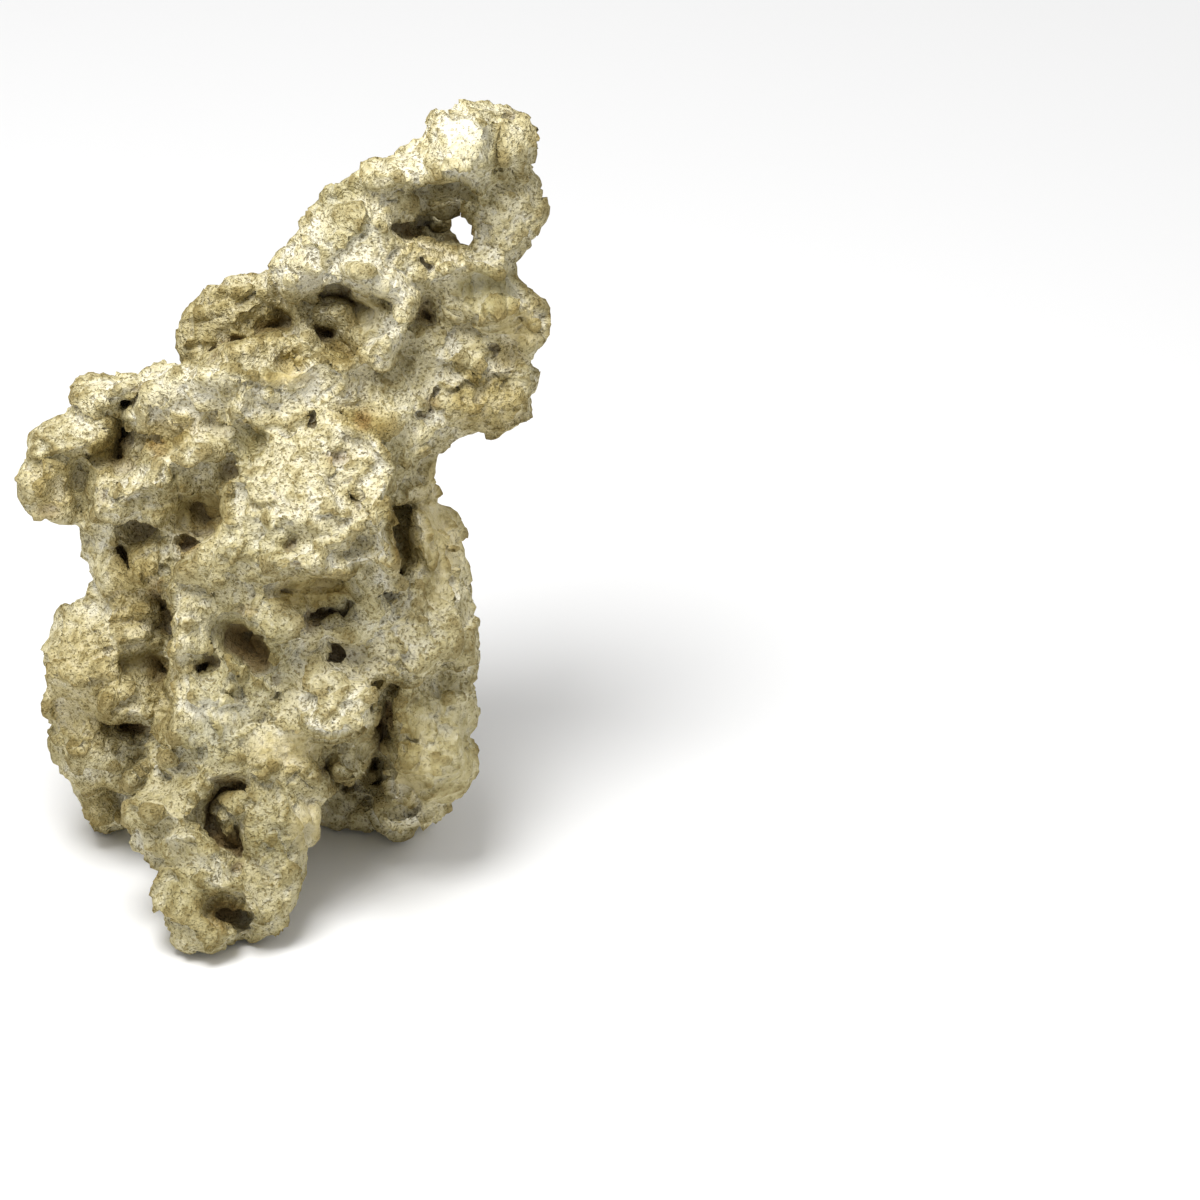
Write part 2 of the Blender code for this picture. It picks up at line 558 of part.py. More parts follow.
def main():
    clear_scene()
    mesh = build_masses()
    mesh = weathered(mesh, *COARSE_CELLS)
    mesh = worn(mesh, "broken face", *BROKEN_FACES)
    mesh = fused(mesh, FUSE_VOXEL, 0)
    mesh = with_ridges(mesh)
    mesh = without(mesh, hollow_cutters(skin_tree(mesh)))
    mesh = weathered(mesh, *FINE_CELLS)
    mesh = worn(mesh, "scallop", *SCALLOPS)
    mesh = fused(mesh, CARVE_VOXEL, 0)
    mesh = thinned(mesh, TRIANGLES)
    mesh = stood(mesh)
    mesh = centred(mesh)
    mesh.materials.clear()
    mesh.materials.append(stone_material())
    rock = helper(mesh)
    rock.name = "reef_rock"


main()
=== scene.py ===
import math

import bpy
import numpy as np
import openvdb
from mathutils import Matrix, Vector


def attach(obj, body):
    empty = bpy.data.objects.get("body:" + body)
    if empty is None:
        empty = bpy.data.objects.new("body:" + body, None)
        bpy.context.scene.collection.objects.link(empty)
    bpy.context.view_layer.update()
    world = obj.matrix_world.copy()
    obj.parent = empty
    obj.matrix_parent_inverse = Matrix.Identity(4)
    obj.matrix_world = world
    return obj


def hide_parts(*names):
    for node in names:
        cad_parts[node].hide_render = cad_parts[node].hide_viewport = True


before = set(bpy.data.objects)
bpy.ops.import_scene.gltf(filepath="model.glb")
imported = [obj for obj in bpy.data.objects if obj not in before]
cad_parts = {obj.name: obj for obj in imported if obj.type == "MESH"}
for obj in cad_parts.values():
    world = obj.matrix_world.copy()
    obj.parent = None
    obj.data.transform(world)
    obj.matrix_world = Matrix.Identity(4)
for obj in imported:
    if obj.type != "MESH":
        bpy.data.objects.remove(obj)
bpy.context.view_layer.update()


# The stone's body. A reef rock is old coral limestone, eaten out by the sea into lumps, ledges and
# holes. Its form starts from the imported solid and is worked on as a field: an array that holds, for
# every millimetre of space, the distance to the stone's skin, below nothing inside the stone.
MM = 0.001
CELL = 1.0
MARGIN = 12
BAND = 9.0
BELL_REACH = 2.5
PIT_FILL = 3.5
SKIN_BLUR = 1.2
BROKEN_FACES = 2400
CREST_BLUR = 0.5
TABLE_LENGTH = 32
NOISE_GAIN = 1.6
NOISE_SHIFT = 0.37
DRIFT_STEP = 2.0
DRIFT = ((10.0, 1.8, 21), (4.5, 1.0, 22))
DRIFT_SEED_STEP = 40
LAST_CELL = 1.001
CARRY = 0.8
WORKED_LAYER = 6.0


def node_triangles(node):
    """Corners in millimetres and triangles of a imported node, with its doubled corners made one."""
    mesh = node.data
    mesh.calc_loop_triangles()
    corners = np.empty(len(mesh.vertices) * 3, np.float32)
    mesh.vertices.foreach_get("co", corners)
    triangles = np.empty(len(mesh.loop_triangles) * 3, np.int32)
    mesh.loop_triangles.foreach_get("vertices", triangles)
    rounded = np.round(corners.reshape(-1, 3) / MM, 3)
    points, single = np.unique(rounded, axis=0, return_inverse=True)
    return points.astype(np.float32), single.reshape(-1)[triangles].reshape(-1, 3).astype(np.uint32)


def field_of(points, triangles, band=BAND):
    """The field of a closed surface over the stone's block of cells, cut off at that distance."""
    grid = openvdb.FloatGrid.createLevelSetFromPolygons(
        points, triangles=triangles, transform=openvdb.createLinearTransform(voxelSize=CELL), halfWidth=band
    )
    values = np.empty(shape, np.float32)
    grid.copyToArray(values, ijk=tuple(int(v) for v in np.round(field_low / CELL)))
    return values


def surface_of(values, level=0.0):
    """Corners in millimetres and four-sided faces of the skin where the field passes that level."""
    grid = openvdb.FloatGrid(float(BAND))
    grid.copyFromArray(values)
    grid.gridClass = openvdb.GridClass.LEVEL_SET
    corners, _, quads = grid.convertToPolygons(isovalue=level, adaptivity=0.0)
    return (corners * CELL + field_low).astype(np.float32), quads


def field_from(values, level, band=BAND):
    """The field of the skin that lies at that level of another field."""
    corners, quads = surface_of(values, level)
    halves = np.concatenate([quads[:, [0, 1, 2]], quads[:, [0, 2, 3]]]).astype(np.uint32)
    return field_of(corners, halves, band)


def filled(values, width):
    """The field with every pit narrower than twice that width filled: the skin is grown by the width
    and then shrunk by it again."""
    return np.clip(field_from(values, width, BAND + width) + np.float32(width), -BAND, BAND)


def blurred(values, width):
    """Values averaged with a bell curve of that width in cells, along one axis after another."""
    reach = int(math.ceil(width * BELL_REACH))
    bell = np.exp(-0.5 * (np.arange(-reach, reach + 1) / width) ** 2)
    bell /= bell.sum()
    for axis in range(3):
        padded = np.pad(values, [(reach, reach) if a == axis else (0, 0) for a in range(3)], mode="edge")
        length = values.shape[axis]
        total = np.zeros_like(values)
        for k, share in enumerate(bell):
            window = [slice(None)] * 3
            window[axis] = slice(k, k + length)
            total += np.float32(share) * padded[tuple(window)]
        values = total
    return values


def between(values, place):
    """Values read between cells: the eight cells round each place, mixed by nearness on each axis."""
    place = np.clip(place, 0, np.array(values.shape[:3]) - LAST_CELL)
    whole = place.astype(np.int32)
    part = (place - whole).astype(np.float32)
    flat = values.reshape(-1, *values.shape[3:])
    wide, tall = values.shape[1] * values.shape[2], values.shape[2]
    first = whole[:, 0] * wide + whole[:, 1] * tall + whole[:, 2]
    total = 0.0
    for i, j, k in np.ndindex(2, 2, 2):
        share = (part[:, 0] if i else 1 - part[:, 0]) * (part[:, 1] if j else 1 - part[:, 1])
        share = share * (part[:, 2] if k else 1 - part[:, 2])
        got = flat[first + i * wide + j * tall + k]
        total = total + (share[:, None] * got if got.ndim > 1 else share * got)
    return total


def noise(at, length, seed):
    """Smooth noise from -1 to 1 with lumps of that length. Each lattice corner holds a random
    direction; the dot products with the way from the eight corners are mixed by 6t^5-15t^4+10t^3."""
    ways = np.random.default_rng(seed).normal(size=(TABLE_LENGTH,) * 3 + (3,)).astype(np.float32)
    ways /= np.linalg.norm(ways, axis=-1, keepdims=True)
    ways = ways.reshape(-1, 3) * np.float32(NOISE_GAIN)
    place = at / length + seed * NOISE_SHIFT
    whole = np.floor(place).astype(np.int32)
    part = (place - whole).astype(np.float32)
    eased = part ** 3 * (part * (part * 6 - 15) + 10)
    total = np.zeros(len(at), np.float32)
    for i, j, k in np.ndindex(2, 2, 2):
        x = (whole[:, 0] + i) % TABLE_LENGTH
        y = (whole[:, 1] + j) % TABLE_LENGTH
        z = (whole[:, 2] + k) % TABLE_LENGTH
        way = ways[(x * TABLE_LENGTH + y) * TABLE_LENGTH + z]
        dot = way[:, 0] * (part[:, 0] - i) + way[:, 1] * (part[:, 1] - j) + way[:, 2] * (part[:, 2] - k)
        share = (eased[:, 0] if i else 1 - eased[:, 0]) * (eased[:, 1] if j else 1 - eased[:, 1])
        total += dot * share * (eased[:, 2] if k else 1 - eased[:, 2])
    return total


def new_object(name, corners, faces):
    """A mesh object at the origin, from corners in millimetres and faces of equal length."""
    mesh = bpy.data.meshes.new(name)
    sides = faces.shape[1]
    mesh.vertices.add(len(corners))
    mesh.vertices.foreach_set("co", (corners * MM).astype(np.float32).ravel())
    mesh.loops.add(faces.size)
    mesh.loops.foreach_set("vertex_index", faces.astype(np.int32).ravel())
    mesh.polygons.add(len(faces))
    mesh.polygons.foreach_set("loop_start", np.arange(len(faces), dtype=np.int32) * sides)
    mesh.update(calc_edges=True)
    mesh.validate()
    made = bpy.data.objects.new(name, mesh)
    bpy.context.scene.collection.objects.link(made)
    return made


def thinned(made, share):
    """The mesh of an object with only that share of its triangles kept, flat parts thinned first."""
    thin = made.modifiers.new("thin", "DECIMATE")
    thin.ratio = min(1.0, share)
    graph = bpy.context.evaluated_depsgraph_get()
    mesh = bpy.data.meshes.new_from_object(made.evaluated_get(graph))
    made.modifiers.clear()
    return mesh


def lattice(counts):
    """The whole-number places of a block of that many cells along each axis, one row for each."""
    places = np.stack(np.meshgrid(*[np.arange(n) for n in counts], indexing="ij"), -1)
    return places.reshape(-1, len(counts))


def drifted(at):
    """Places moved by the stone's own slow drift, which makes every worked edge wander."""
    return at + between(drift, (at - field_low) / DRIFT_STEP)


def cell_places(index):
    """The places in millimetres of the cells with those flat indices."""
    return (np.stack(np.unravel_index(index, field.shape), -1) * CELL + field_low).astype(np.float32)


def near_skin():
    """The cells in the worked layer round the skin: their flat indices and their places."""
    index = np.flatnonzero(np.abs(field) < WORKED_LAYER)
    return index, cell_places(index)


points, triangles = node_triangles(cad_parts["reef_rock"])
low = np.floor(points.min(0) / CELL).astype(int) - MARGIN
high = np.ceil(points.max(0) / CELL).astype(int) + MARGIN
field_low, shape = low * CELL, high - low
field = blurred(filled(field_of(points, triangles), PIT_FILL), SKIN_BLUR / CELL)

# Thinned to a few thousand faces, the smoothed form breaks into the flat facets of cracked stone.
corners, quads = surface_of(field)
form = new_object("broken_form", corners, quads)
form.data = thinned(form, BROKEN_FACES / (2 * len(quads)))
field = blurred(field_of(*node_triangles(form)), CREST_BLUR / CELL)
bpy.data.objects.remove(form)

drift_shape = np.ceil(shape * CELL / DRIFT_STEP).astype(int) + 1
drift_at = (lattice(drift_shape) * DRIFT_STEP + field_low).astype(np.float32)
drift = sum(
    np.float32(reach) * np.stack(
        [noise(drift_at, length, seed + DRIFT_SEED_STEP * axis) for axis in range(3)], -1
    )
    for length, reach, seed in DRIFT
).reshape(*drift_shape, 3)

index, at = near_skin()
carried = at + between(drift, (at - field_low) / DRIFT_STEP) * np.float32(CARRY)
field.reshape(-1)[index] = between(field, (carried - field_low) / CELL)


# The worked front. What the photograph shows of the stone's face, drawn as strokes on the picture
# plane, in millimetres across and up: ridges, ledges, creases and hollows that stand out of the
# skin or sink into it along the line of sight.
VIEW_RISE = math.radians(30)
TOWARD = np.array([0.0, -math.cos(VIEW_RISE), math.sin(VIEW_RISE)])
ACROSS = np.array([1.0, 0.0, 0.0])
UP = np.array([0.0, math.sin(VIEW_RISE), math.cos(VIEW_RISE)])
DRAWING_SHIFT = np.array([0.3, 30.9])
DRAWING_STEP = 0.5
DRAWING_LOW = np.array([-90.0, -12.0])
DRAWING_HIGH = np.array([92.0, 266.0])
DRAWING_WANDER = ((7.0, 1.1, 31), (2.8, 0.55, 32))
WANDER_SEED_STEP = 5
DRAWING_GAIN = 1.8
FRONT_LAYER = (14.0, 34.0)
STROKE_ENDS = (-0.02, 0.12)
STROKE_POWER = 1.35
RIDGE_POWER = 0.75
LEDGE_RATIO = 2.4
GROOVE_WIDTH = 2.6
GROOVE_DEPTH = 1.1
GROOVE_SHARE = 0.5
LEDGE_SHADE_WIDTH = 9.0
LEDGE_SHADE_HEIGHT = 3.0
LEDGE_SHADE_LIMITS = (-0.6, 1.0)
CREASE_SHADE = 0.5
RIM_LIGHT = 0.4
RIM_WIDTH = 3.0
SIGHT_REACH = 150.0
SIGHT_SHARE = 0.8
SIGHT_STEPS = (0.25, 6.0)
SIGHT_SKIN = 0.1
SIGHT_AIR = 2.0

# Each ridge, ledge or crease: its path, how far it stands out (below nothing for a crease), and its
# width on the left and on the right of the path.
LINES = {
    "peak": (
        ([(29, 228.5), (35, 231), (41, 229.5), (45, 231), (49, 232), (52, 233), (56, 230), (61, 224)],
          5.0, 14, 1.5),
        ([(41, 223.5), (47, 224.5), (53, 223.5), (60, 224)], 2.0, 6, 1.2),
        ([(63.5, 251), (64, 246), (62.6, 241), (64, 236), (65.5, 232)], -2.8, 1.8, 2.2),
        ([(61.5, 223), (63, 229), (68, 230.5), (69.5, 235)], -2.2, 1.5, 1.8),
        ([(44, 232), (47, 238)], -1.2, 1.2, 1.2),
        ([(47, 232), (49.5, 238)], -1.2, 1.2, 1.2),
        ([(41, 238), (45, 247)], -1.0, 1.5, 1.5),
        ([(28, 236), (36, 240), (44, 247), (50, 253)], 1.5, 3, 5),
        ([(12, 226), (17, 232), (27, 231), (28, 227)], 1.2, 2, 3),
        ([(13, 223), (20, 222), (27, 221), (33, 220)], 1.8, 2.5, 5),
        ([(57, 219), (61, 220), (63, 216), (61, 211)], 1.8, 2, 2),
        ([(41, 215), (45, 213.5), (45, 210)], 1.5, 1.5, 1.5),
    ),
    "neck": (
        ([(3, 205), (1.5, 198), (4, 192), (6.5, 187), (9, 182.5)], 3.0, 2.5, 2.5),
        ([(-2, 197), (1, 191), (3, 186.5)], -3.0, 0.8, 4),
        ([(-9, 185.5), (-3, 187), (2.5, 189)], -3.5, 3.5, 0.8),
        ([(-17, 180.8), (-12, 182), (-7, 184.3), (0, 186), (3, 184.5)], 3.0, 1.0, 9),
        ([(9, 191), (14, 192.5), (19, 194.5)], 1.8, 1.8, 2),
        ([(18, 202), (20.5, 204), (25, 203.5), (29, 200.5), (34, 198.5), (38, 195.5), (36, 190),
          (33, 185), (29, 179.5), (25, 177)], 7.0, 4.2, 3.2),
        ([(28.5, 192), (30, 195), (34, 196.3)], -1.5, 1, 1),
        ([(22.5, 186.5), (23.5, 183), (22, 179.5)], 1.5, 1.2, 1.2),
        ([(-40, 175.5), (-33, 177.5), (-24, 176), (-13, 174), (-5, 172.8), (5, 174.2), (11, 178),
          (16, 177.5), (20, 176.5), (26, 177.5)], 2.5, 1.5, 7),
        ([(-24, 196), (-20, 199.5), (-11, 199.5), (-4, 202)], 1.5, 2, 3),
        ([(-32, 190), (-26, 191.5), (-19, 194), (-12, 192.5), (-5, 192)], 1.2, 1, 3),
    ),
    "east": (
        ([(46, 203.5), (52, 205.5), (60, 205), (66, 202), (69.5, 197.5), (69, 193)], 2.2, 2, 2),
        ([(41, 196), (40, 190), (37, 186.5), (36, 184)], -3.2, 3, 1),
        ([(63, 190.5), (66, 192), (70, 192.8), (74, 190), (77.5, 187)], 2.0, 4, 1.0),
        ([(42, 179), (46, 177.5), (52, 177.3), (58, 176), (61, 175)], 2.4, 5, 1.0),
        ([(46, 170.5), (51, 170.2), (55, 172.8), (60, 173.6), (66, 174.2), (71, 175.5)], 2.2, 3.5, 1.0),
        ([(66, 174), (66.3, 168)], -1.5, 1, 1),
        ([(59.5, 170), (60, 164), (63.5, 161)], -1.2, 1, 1.5),
        ([(54.5, 158), (60, 158)], -1.5, 1, 1),
    ),
    "west": (
        ([(-56, 164.3), (-51, 165), (-48, 168), (-46, 168.3), (-42.5, 170.3)], 2.5, 5, 1.0),
        ([(-50, 162.6), (-45.5, 161.8), (-41.5, 162.5)], 3.0, 1.4, 1.2),
        ([(-45, 161), (-46.2, 157), (-47, 152), (-48.3, 147)], 2.5, 4, 0.8),
        ([(-75, 149), (-70, 150.8), (-63, 151.3), (-59, 150.3), (-56, 153), (-53, 153.3), (-52, 157),
          (-53, 161)], 3.0, 7, 1.2),
        ([(-74, 145.5), (-70, 148.5), (-65, 149.5)], 1.5, 1, 4),
        ([(-61, 148.5), (-60.8, 140), (-59, 131.5)], -4.5, 3.5, 3.5),
        ([(-57, 129), (-55.6, 134), (-56.3, 139), (-55, 145.5), (-50, 147.5)], 3.0, 1.0, 7),
        ([(-45, 146), (-39, 148.5), (-34, 150.8), (-29, 154.5), (-26, 156)], 2.5, 1.5, 4),
        ([(-49, 135), (-43, 138), (-38, 140.3), (-35, 141.5), (-33.2, 146)], 3.5, 7, 1.0),
        ([(-33, 148.8), (-31, 145), (-29.3, 141), (-28.8, 139)], 2.0, 3, 0.8),
        ([(-50, 134), (-49.5, 129), (-51.5, 123.5)], 1.5, 2, 2),
        ([(-35.5, 135), (-36.6, 130), (-38.3, 126), (-40, 121.5)], 2.5, 1.3, 1.3),
        ([(-43.5, 118.5), (-41.6, 114), (-40.6, 109), (-39.8, 105)], -1.3, 1.2, 1.0),
        ([(-45.5, 120), (-43, 117.5), (-42, 113)], 1.5, 1, 1.2),
        ([(-40, 119.5), (-38.5, 115), (-38, 110.5)], 1.8, 2, 1.5),
        ([(-35.5, 117), (-33.5, 113), (-34.5, 108.5)], -1.3, 1.8, 1.8),
        ([(-34.5, 122.5), (-32.5, 126), (-28, 126.6), (-25.5, 124.3)], 1.6, 1.2, 1),
        ([(-34.5, 122), (-31, 119.8), (-27, 121.2)], 1.4, 1, 1.2),
        ([(-35, 118), (-31, 116.8), (-27.5, 118.8)], -1.6, 1, 1),
    ),
    "front body's west edge": (
        ([(-31, 60.5), (-33.8, 62.5), (-33, 68), (-31.3, 74), (-30.3, 76.5), (-34.5, 78.5), (-35, 82.5),
          (-33.5, 85.3), (-34.8, 88), (-33, 92), (-31, 96), (-30.5, 98.5), (-32.3, 102.5), (-31.2, 105),
          (-33, 108.5), (-32.3, 112.5), (-30, 116.3), (-26, 117.8), (-24.8, 121.5), (-24, 126),
          (-21, 127.6), (-17, 130.5), (-15.8, 136), (-15.3, 140.8), (-12, 143.8), (-10, 146.2),
          (-9, 148.8), (-5.5, 150.8), (-3, 154), (0.5, 155.5)], 4.0, 0.9, 11),
    ),
    "boulder": (
        ([(-15.3, 159.5), (-13.3, 165), (-9.5, 169.3), (-4.5, 169), (-1, 166)], 2.2, 1.2, 6),
        ([(-9.5, 142), (-10, 138), (-6, 135.3), (-3, 136.3), (-1, 134.8)], 1.5, 3, 0.8),
        ([(-14, 130.3), (-10, 131.6), (-5, 130.6), (0, 131), (4, 129)], 1.2, 0.8, 0.8),
        ([(3.8, 142.5), (4.8, 139), (4.8, 136)], -1.6, 1.2, 1.2),
        ([(2.8, 152.5), (2, 149.8)], -1.3, 0.8, 0.8),
        ([(6.5, 145.3), (8, 147), (11, 147)], -1.2, 0.8, 0.8),
        ([(11, 122.8), (14, 121.8), (16.5, 120.5), (22.5, 119.8)], -1.6, 0.9, 0.9),
        ([(22.8, 127), (23, 123.5), (24.5, 121.5)], -1.3, 0.9, 0.9),
        ([(-9, 119.5), (-5, 120.2), (-1, 121.5), (3, 123)], -1.5, 1, 1),
        ([(1.5, 127.5), (4, 125), (7, 122)], -2.0, 1, 1),
        ([(-4, 117), (1, 116.5), (8, 115.2), (12, 113.6), (16, 112.8), (19, 114), (22.5, 117),
          (26, 117.6), (30, 115.8)], 5.5, 9, 1.0),
        ([(14, 161.5), (19, 159.3), (25, 157.2), (28, 153), (31.5, 149.5), (32.8, 145.5), (32, 141.5),
          (28.8, 137), (28.8, 131.5), (30.5, 128.5), (31.7, 124), (33.2, 119.5), (33.6, 116.3),
          (35, 115.4)], 5.0, 0.9, 10),
        ([(35, 115.4), (38, 116.3), (40.8, 115.6), (41.4, 112), (41.2, 107), (44, 105)], 3.0, 0.8, 8),
        ([(-20.7, 121), (-21.2, 114), (-20.6, 106)], -1.8, 0.9, 0.9),
        ([(-12.6, 119.5), (-13.6, 112), (-13.2, 106), (-14.5, 100)], -1.6, 0.9, 0.9),
        ([(-29.3, 114.5), (-30.2, 108.5), (-30, 104)], -1.4, 0.8, 0.8),
        ([(-27.5, 104.8), (-24, 105.6), (-20, 104.8)], -1.6, 0.8, 1),
        ([(-19.5, 120), (-16, 122), (-12, 122.5)], 1.2, 1.5, 3),
        ([(-14.5, 101), (-11, 99.8), (-8.5, 97.6), (-5.5, 96.6), (-3.5, 93), (-2.6, 89), (-3.5, 86.3)],
          2.5, 5, 0.8),
    ),
    "holed face": (
        ([(-34, 90.5), (-30, 92.5), (-27, 90.5)], 1.5, 2, 2),
        ([(-34, 85.3), (-30, 84.5)], -1.2, 0.8, 0.8),
        ([(-30, 76.8), (-25, 78.5), (-20, 77.8), (-15, 76.5), (-10, 76)], 1.5, 1, 4),
        ([(-18.5, 75.3), (-15, 74.5), (-11, 74.6)], -1.2, 0.7, 0.7),
        ([(15.5, 100.5), (17.5, 102), (18, 106.5)], 1.2, 1, 1),
        ([(3, 75.5), (5.5, 72), (8, 68), (11, 66.3), (15, 65.8), (20, 67.3), (23.5, 67.8), (27, 70.3),
          (28.8, 73.3), (28, 77), (31, 80.8), (33.5, 83.8), (37, 85.4)], 5.5, 9, 1.0),
        ([(-31, 61), (-29.5, 58.5), (-26, 56.5), (-24, 55)], 1.5, 5, 0.8),
        ([(-29.5, 64.5), (-29, 62)], -1.2, 0.8, 0.8),
        ([(-23, 50.5), (-20.5, 52.5), (-17, 53.4), (-13, 53.2), (-10, 52)], 1.8, 3, 0.8),
        ([(20.5, 76.3), (21.5, 71.5)], -1.2, 0.9, 0.9),
        ([(19, 85.5), (22.5, 86), (26, 85.2)], -1.4, 0.8, 0.8),
    ),
    "west lobe": (
        ([(-60, 99), (-55, 100.5), (-50, 104), (-46, 106)], 1.5, 2, 4),
        ([(-50, 95.5), (-45, 96), (-41, 96.5), (-38, 99)], 2.0, 2, 3),
        ([(-52, 90.3), (-46, 91), (-41, 92), (-36, 93)], 1.5, 4, 0.8),
        ([(-50.5, 91), (-49.8, 86), (-49.7, 82), (-51, 79.5)], 2.0, 1.0, 3),
        ([(-51, 79.5), (-53.5, 76), (-54.7, 73.5), (-53, 71.3), (-50, 70.7), (-46.5, 71.8), (-43, 71.5),
          (-40, 69.5)], 3.5, 6, 0.9),
        ([(-54, 74), (-50, 77.5), (-46, 80), (-42, 80)], 1.5, 2.5, 2.5),
        ([(-64.5, 61.5), (-62, 65), (-60.5, 68.5), (-57.5, 70)], 2.2, 1, 4),
        ([(-68.5, 55), (-64, 54.5), (-60, 56)], 1.5, 2, 2),
        ([(-58, 51), (-55, 54), (-52, 51.5), (-50, 50)], 1.5, 3, 0.8),
        ([(-47.5, 38), (-49.5, 42), (-48.5, 48), (-46.5, 53.5), (-44, 55.5), (-41, 57.5), (-37.5, 59.5),
          (-33.5, 60.7), (-31, 58.5)], 5.0, 0.9, 8),
    ),
    "foot": (
        ([(-46.5, 40), (-44, 42), (-41, 43.8), (-37, 43)], 1.3, 1.5, 3),
        ([(-39.5, 32), (-36, 35.5), (-32, 37), (-28, 36.8), (-25, 35.2), (-22, 32.8), (-20, 31),
          (-17, 29), (-15.5, 26), (-15, 23.5)], 2.8, 1.2, 4),
        ([(-26, 21.8), (-22, 20.8), (-19, 20.3), (-16.5, 18.5), (-14, 16.3), (-10.5, 14), (-9.7, 10.5),
          (-10.3, 8.5)], 3.0, 6, 0.9),
        ([(-20, 9), (-17.5, 7.5), (-13, 6.5)], 1.5, 2, 2),
        ([(-11, 46.5), (-15, 45.5), (-18.5, 43), (-17.5, 38.5)], 2.5, 3, 3),
        ([(6, 50), (9, 49.5), (12, 48.5), (13.3, 46.5)], 1.0, 2, 2),
    ),
    "east lobe": (
        ([(37.5, 85), (34.5, 78), (35, 72), (34.2, 66), (34.8, 60), (33.5, 55), (31.5, 50.5), (33, 46.2),
          (38, 46.5)], 3.0, 8, 0.9),
        ([(15, 55.5), (18, 53.5), (20, 53), (24, 53.3), (29, 53)], 2.5, 5, 0.9),
        ([(19, 50), (22, 48.5), (25, 47), (26.5, 43.5), (27.5, 40.5)], 2.0, 4, 0.8),
        ([(46, 77.3), (51, 78.2), (55, 78)], 1.5, 1, 3),
        ([(45, 86), (50, 85.3), (54.5, 85.3), (57, 86.5)], 1.5, 3, 0.8),
        ([(45, 54), (50, 54.5), (54, 54.8)], 1.0, 3, 0.8),
    ),
}

# Each flat or hollow patch: its middle, its two half widths, its turn in degrees, how far it stands
# out, and the width of its soft edge.
PATCHES = {
    "peak": (
        ((56, 242), (6.5, 11), 8, 2.0, 3), ((35, 224), (8, 5), 20, -2.5, 5),
        ((20, 228), (7, 4), 15, -1.2, 3), ((45, 217.5), (13, 5), -5, -4.5, 4),
    ),
    "neck": (
        ((24, 191.5), (4.4, 5.2), 0, -9.0, 2.0), ((18, 181), (5, 3.8), -10, -5.5, 2),
        ((2.5, 177.3), (3.6, 3.6), 0, -4.0, 1.6), ((12, 197), (9, 4), 0, -3.0, 3),
        ((13, 187.5), (7, 4.5), -10, -4.0, 2.5), ((-13, 185), (9, 3.5), 12, -3.0, 2),
        ((42.5, 193), (3.5, 7), -20, -4.0, 2.5), ((36, 182), (4, 5), 0, -2.5, 3),
    ),
    "east": (
        ((61, 198), (8.5, 6.3), -15, -2.0, 3), ((71, 188.5), (5.5, 3), -20, -1.5, 2),
        ((67.5, 180), (4, 4.5), 0, -2.0, 2.5), ((54, 165), (9, 6), 0, 0.8, 4),
        ((24, 161), (8, 3), -12, -2.2, 3),
    ),
    "west": (
        ((-46.5, 166), (3.5, 3), 20, -3.0, 1.5), ((-54, 150), (4.5, 4), 0, -3.5, 2),
        ((-67, 140), (4, 4), 0, -1.5, 3), ((-35, 156), (7, 4.5), 20, -2.0, 3),
        ((-42.7, 128), (5, 5.8), 15, -2.5, 2.5), ((-41, 126.5), (3, 3), 0, -1.0, 2),
        ((-27, 133), (9.5, 6.5), -8, -1.5, 3), ((-24, 130), (5, 3), 10, -1.5, 2.5),
        ((-44, 108.5), (3, 3.3), 0, -2.5, 2), ((-10, 153), (6, 6), 20, -3.5, 3),
        ((-23, 148), (6, 5), 0, 6.0, 4), ((-48.5, 153), (2.5, 8), 0, -4.0, 1.5),
        ((-40, 112), (6, 12), 0, 6.0, 5), ((-25, 138), (7, 3), 20, -3.0, 2.5),
    ),
    "boulder": (
        ((8, 109.5), (12, 4.2), 4, -2.0, 2.0), ((-20, 98), (11, 5), -8, -3.0, 4),
        ((36, 124), (7.0, 14), 12, 22.0, 5.0), ((-16, 109), (12, 8), -8, -2.0, 5),
    ),
    "holed face": (
        ((-15, 95), (9, 5), -20, -2.0, 3), ((-21, 66), (11, 10), 0, 2.0, 6),
        ((8, 61), (11, 5), 0, -4.0, 3), ((19, 58), (8, 8), 0, -4.0, 3), ((12, 50), (7, 5), 0, -2.0, 3),
        ((-34.5, 88), (2.5, 4), 0, -4.0, 1.5), ((20, 103), (4, 5), 0, -2.5, 2),
    ),
    "west lobe": (
        ((-42.5, 87), (7.5, 4.8), -5, -6.0, 2.0), ((-53, 82), (1.8, 2.4), 0, -2.0, 1),
        ((-36.5, 80), (3.5, 20), 0, -2.0, 2.5), ((-44, 68), (7, 3.5), 10, -5.0, 2),
        ((-67.5, 65), (4, 5), 0, -2.5, 2.5), ((-64, 73), (4, 3), 0, -1.5, 2),
        ((-72, 90), (1.5, 3.5), 0, -1.5, 1), ((-54, 46), (5, 9), 0, -4.0, 3.0),
        ((-42, 62.5), (8, 3.5), 20, -6.0, 2),
    ),
    "foot": (
        ((-16.5, 14), (6.5, 5.5), -15, -4.0, 2.5), ((-12.5, 12.5), (2.5, 2), 0, -3.0, 1.5),
        ((-35, 18), (4, 6), 0, 1.0, 3), ((-24, 4), (6, 4), 0, 1.0, 3), ((7, 39.5), (4.5, 6), -10, 1.0, 2),
        ((3, 48.5), (3, 1.8), 0, -1.5, 1.5), ((-4, 54), (3, 2.5), 0, -1.2, 2),
    ),
    "east lobe": (
        ((28, 62), (5, 11), 0, -6.0, 2.5), ((27, 49), (6, 4), 0, -6.0, 2.5),
        ((35, 43.5), (6, 2.6), 5, -4.0, 1.8), ((51.5, 82.5), (2.5, 3), 0, -1.8, 2),
    ),
}


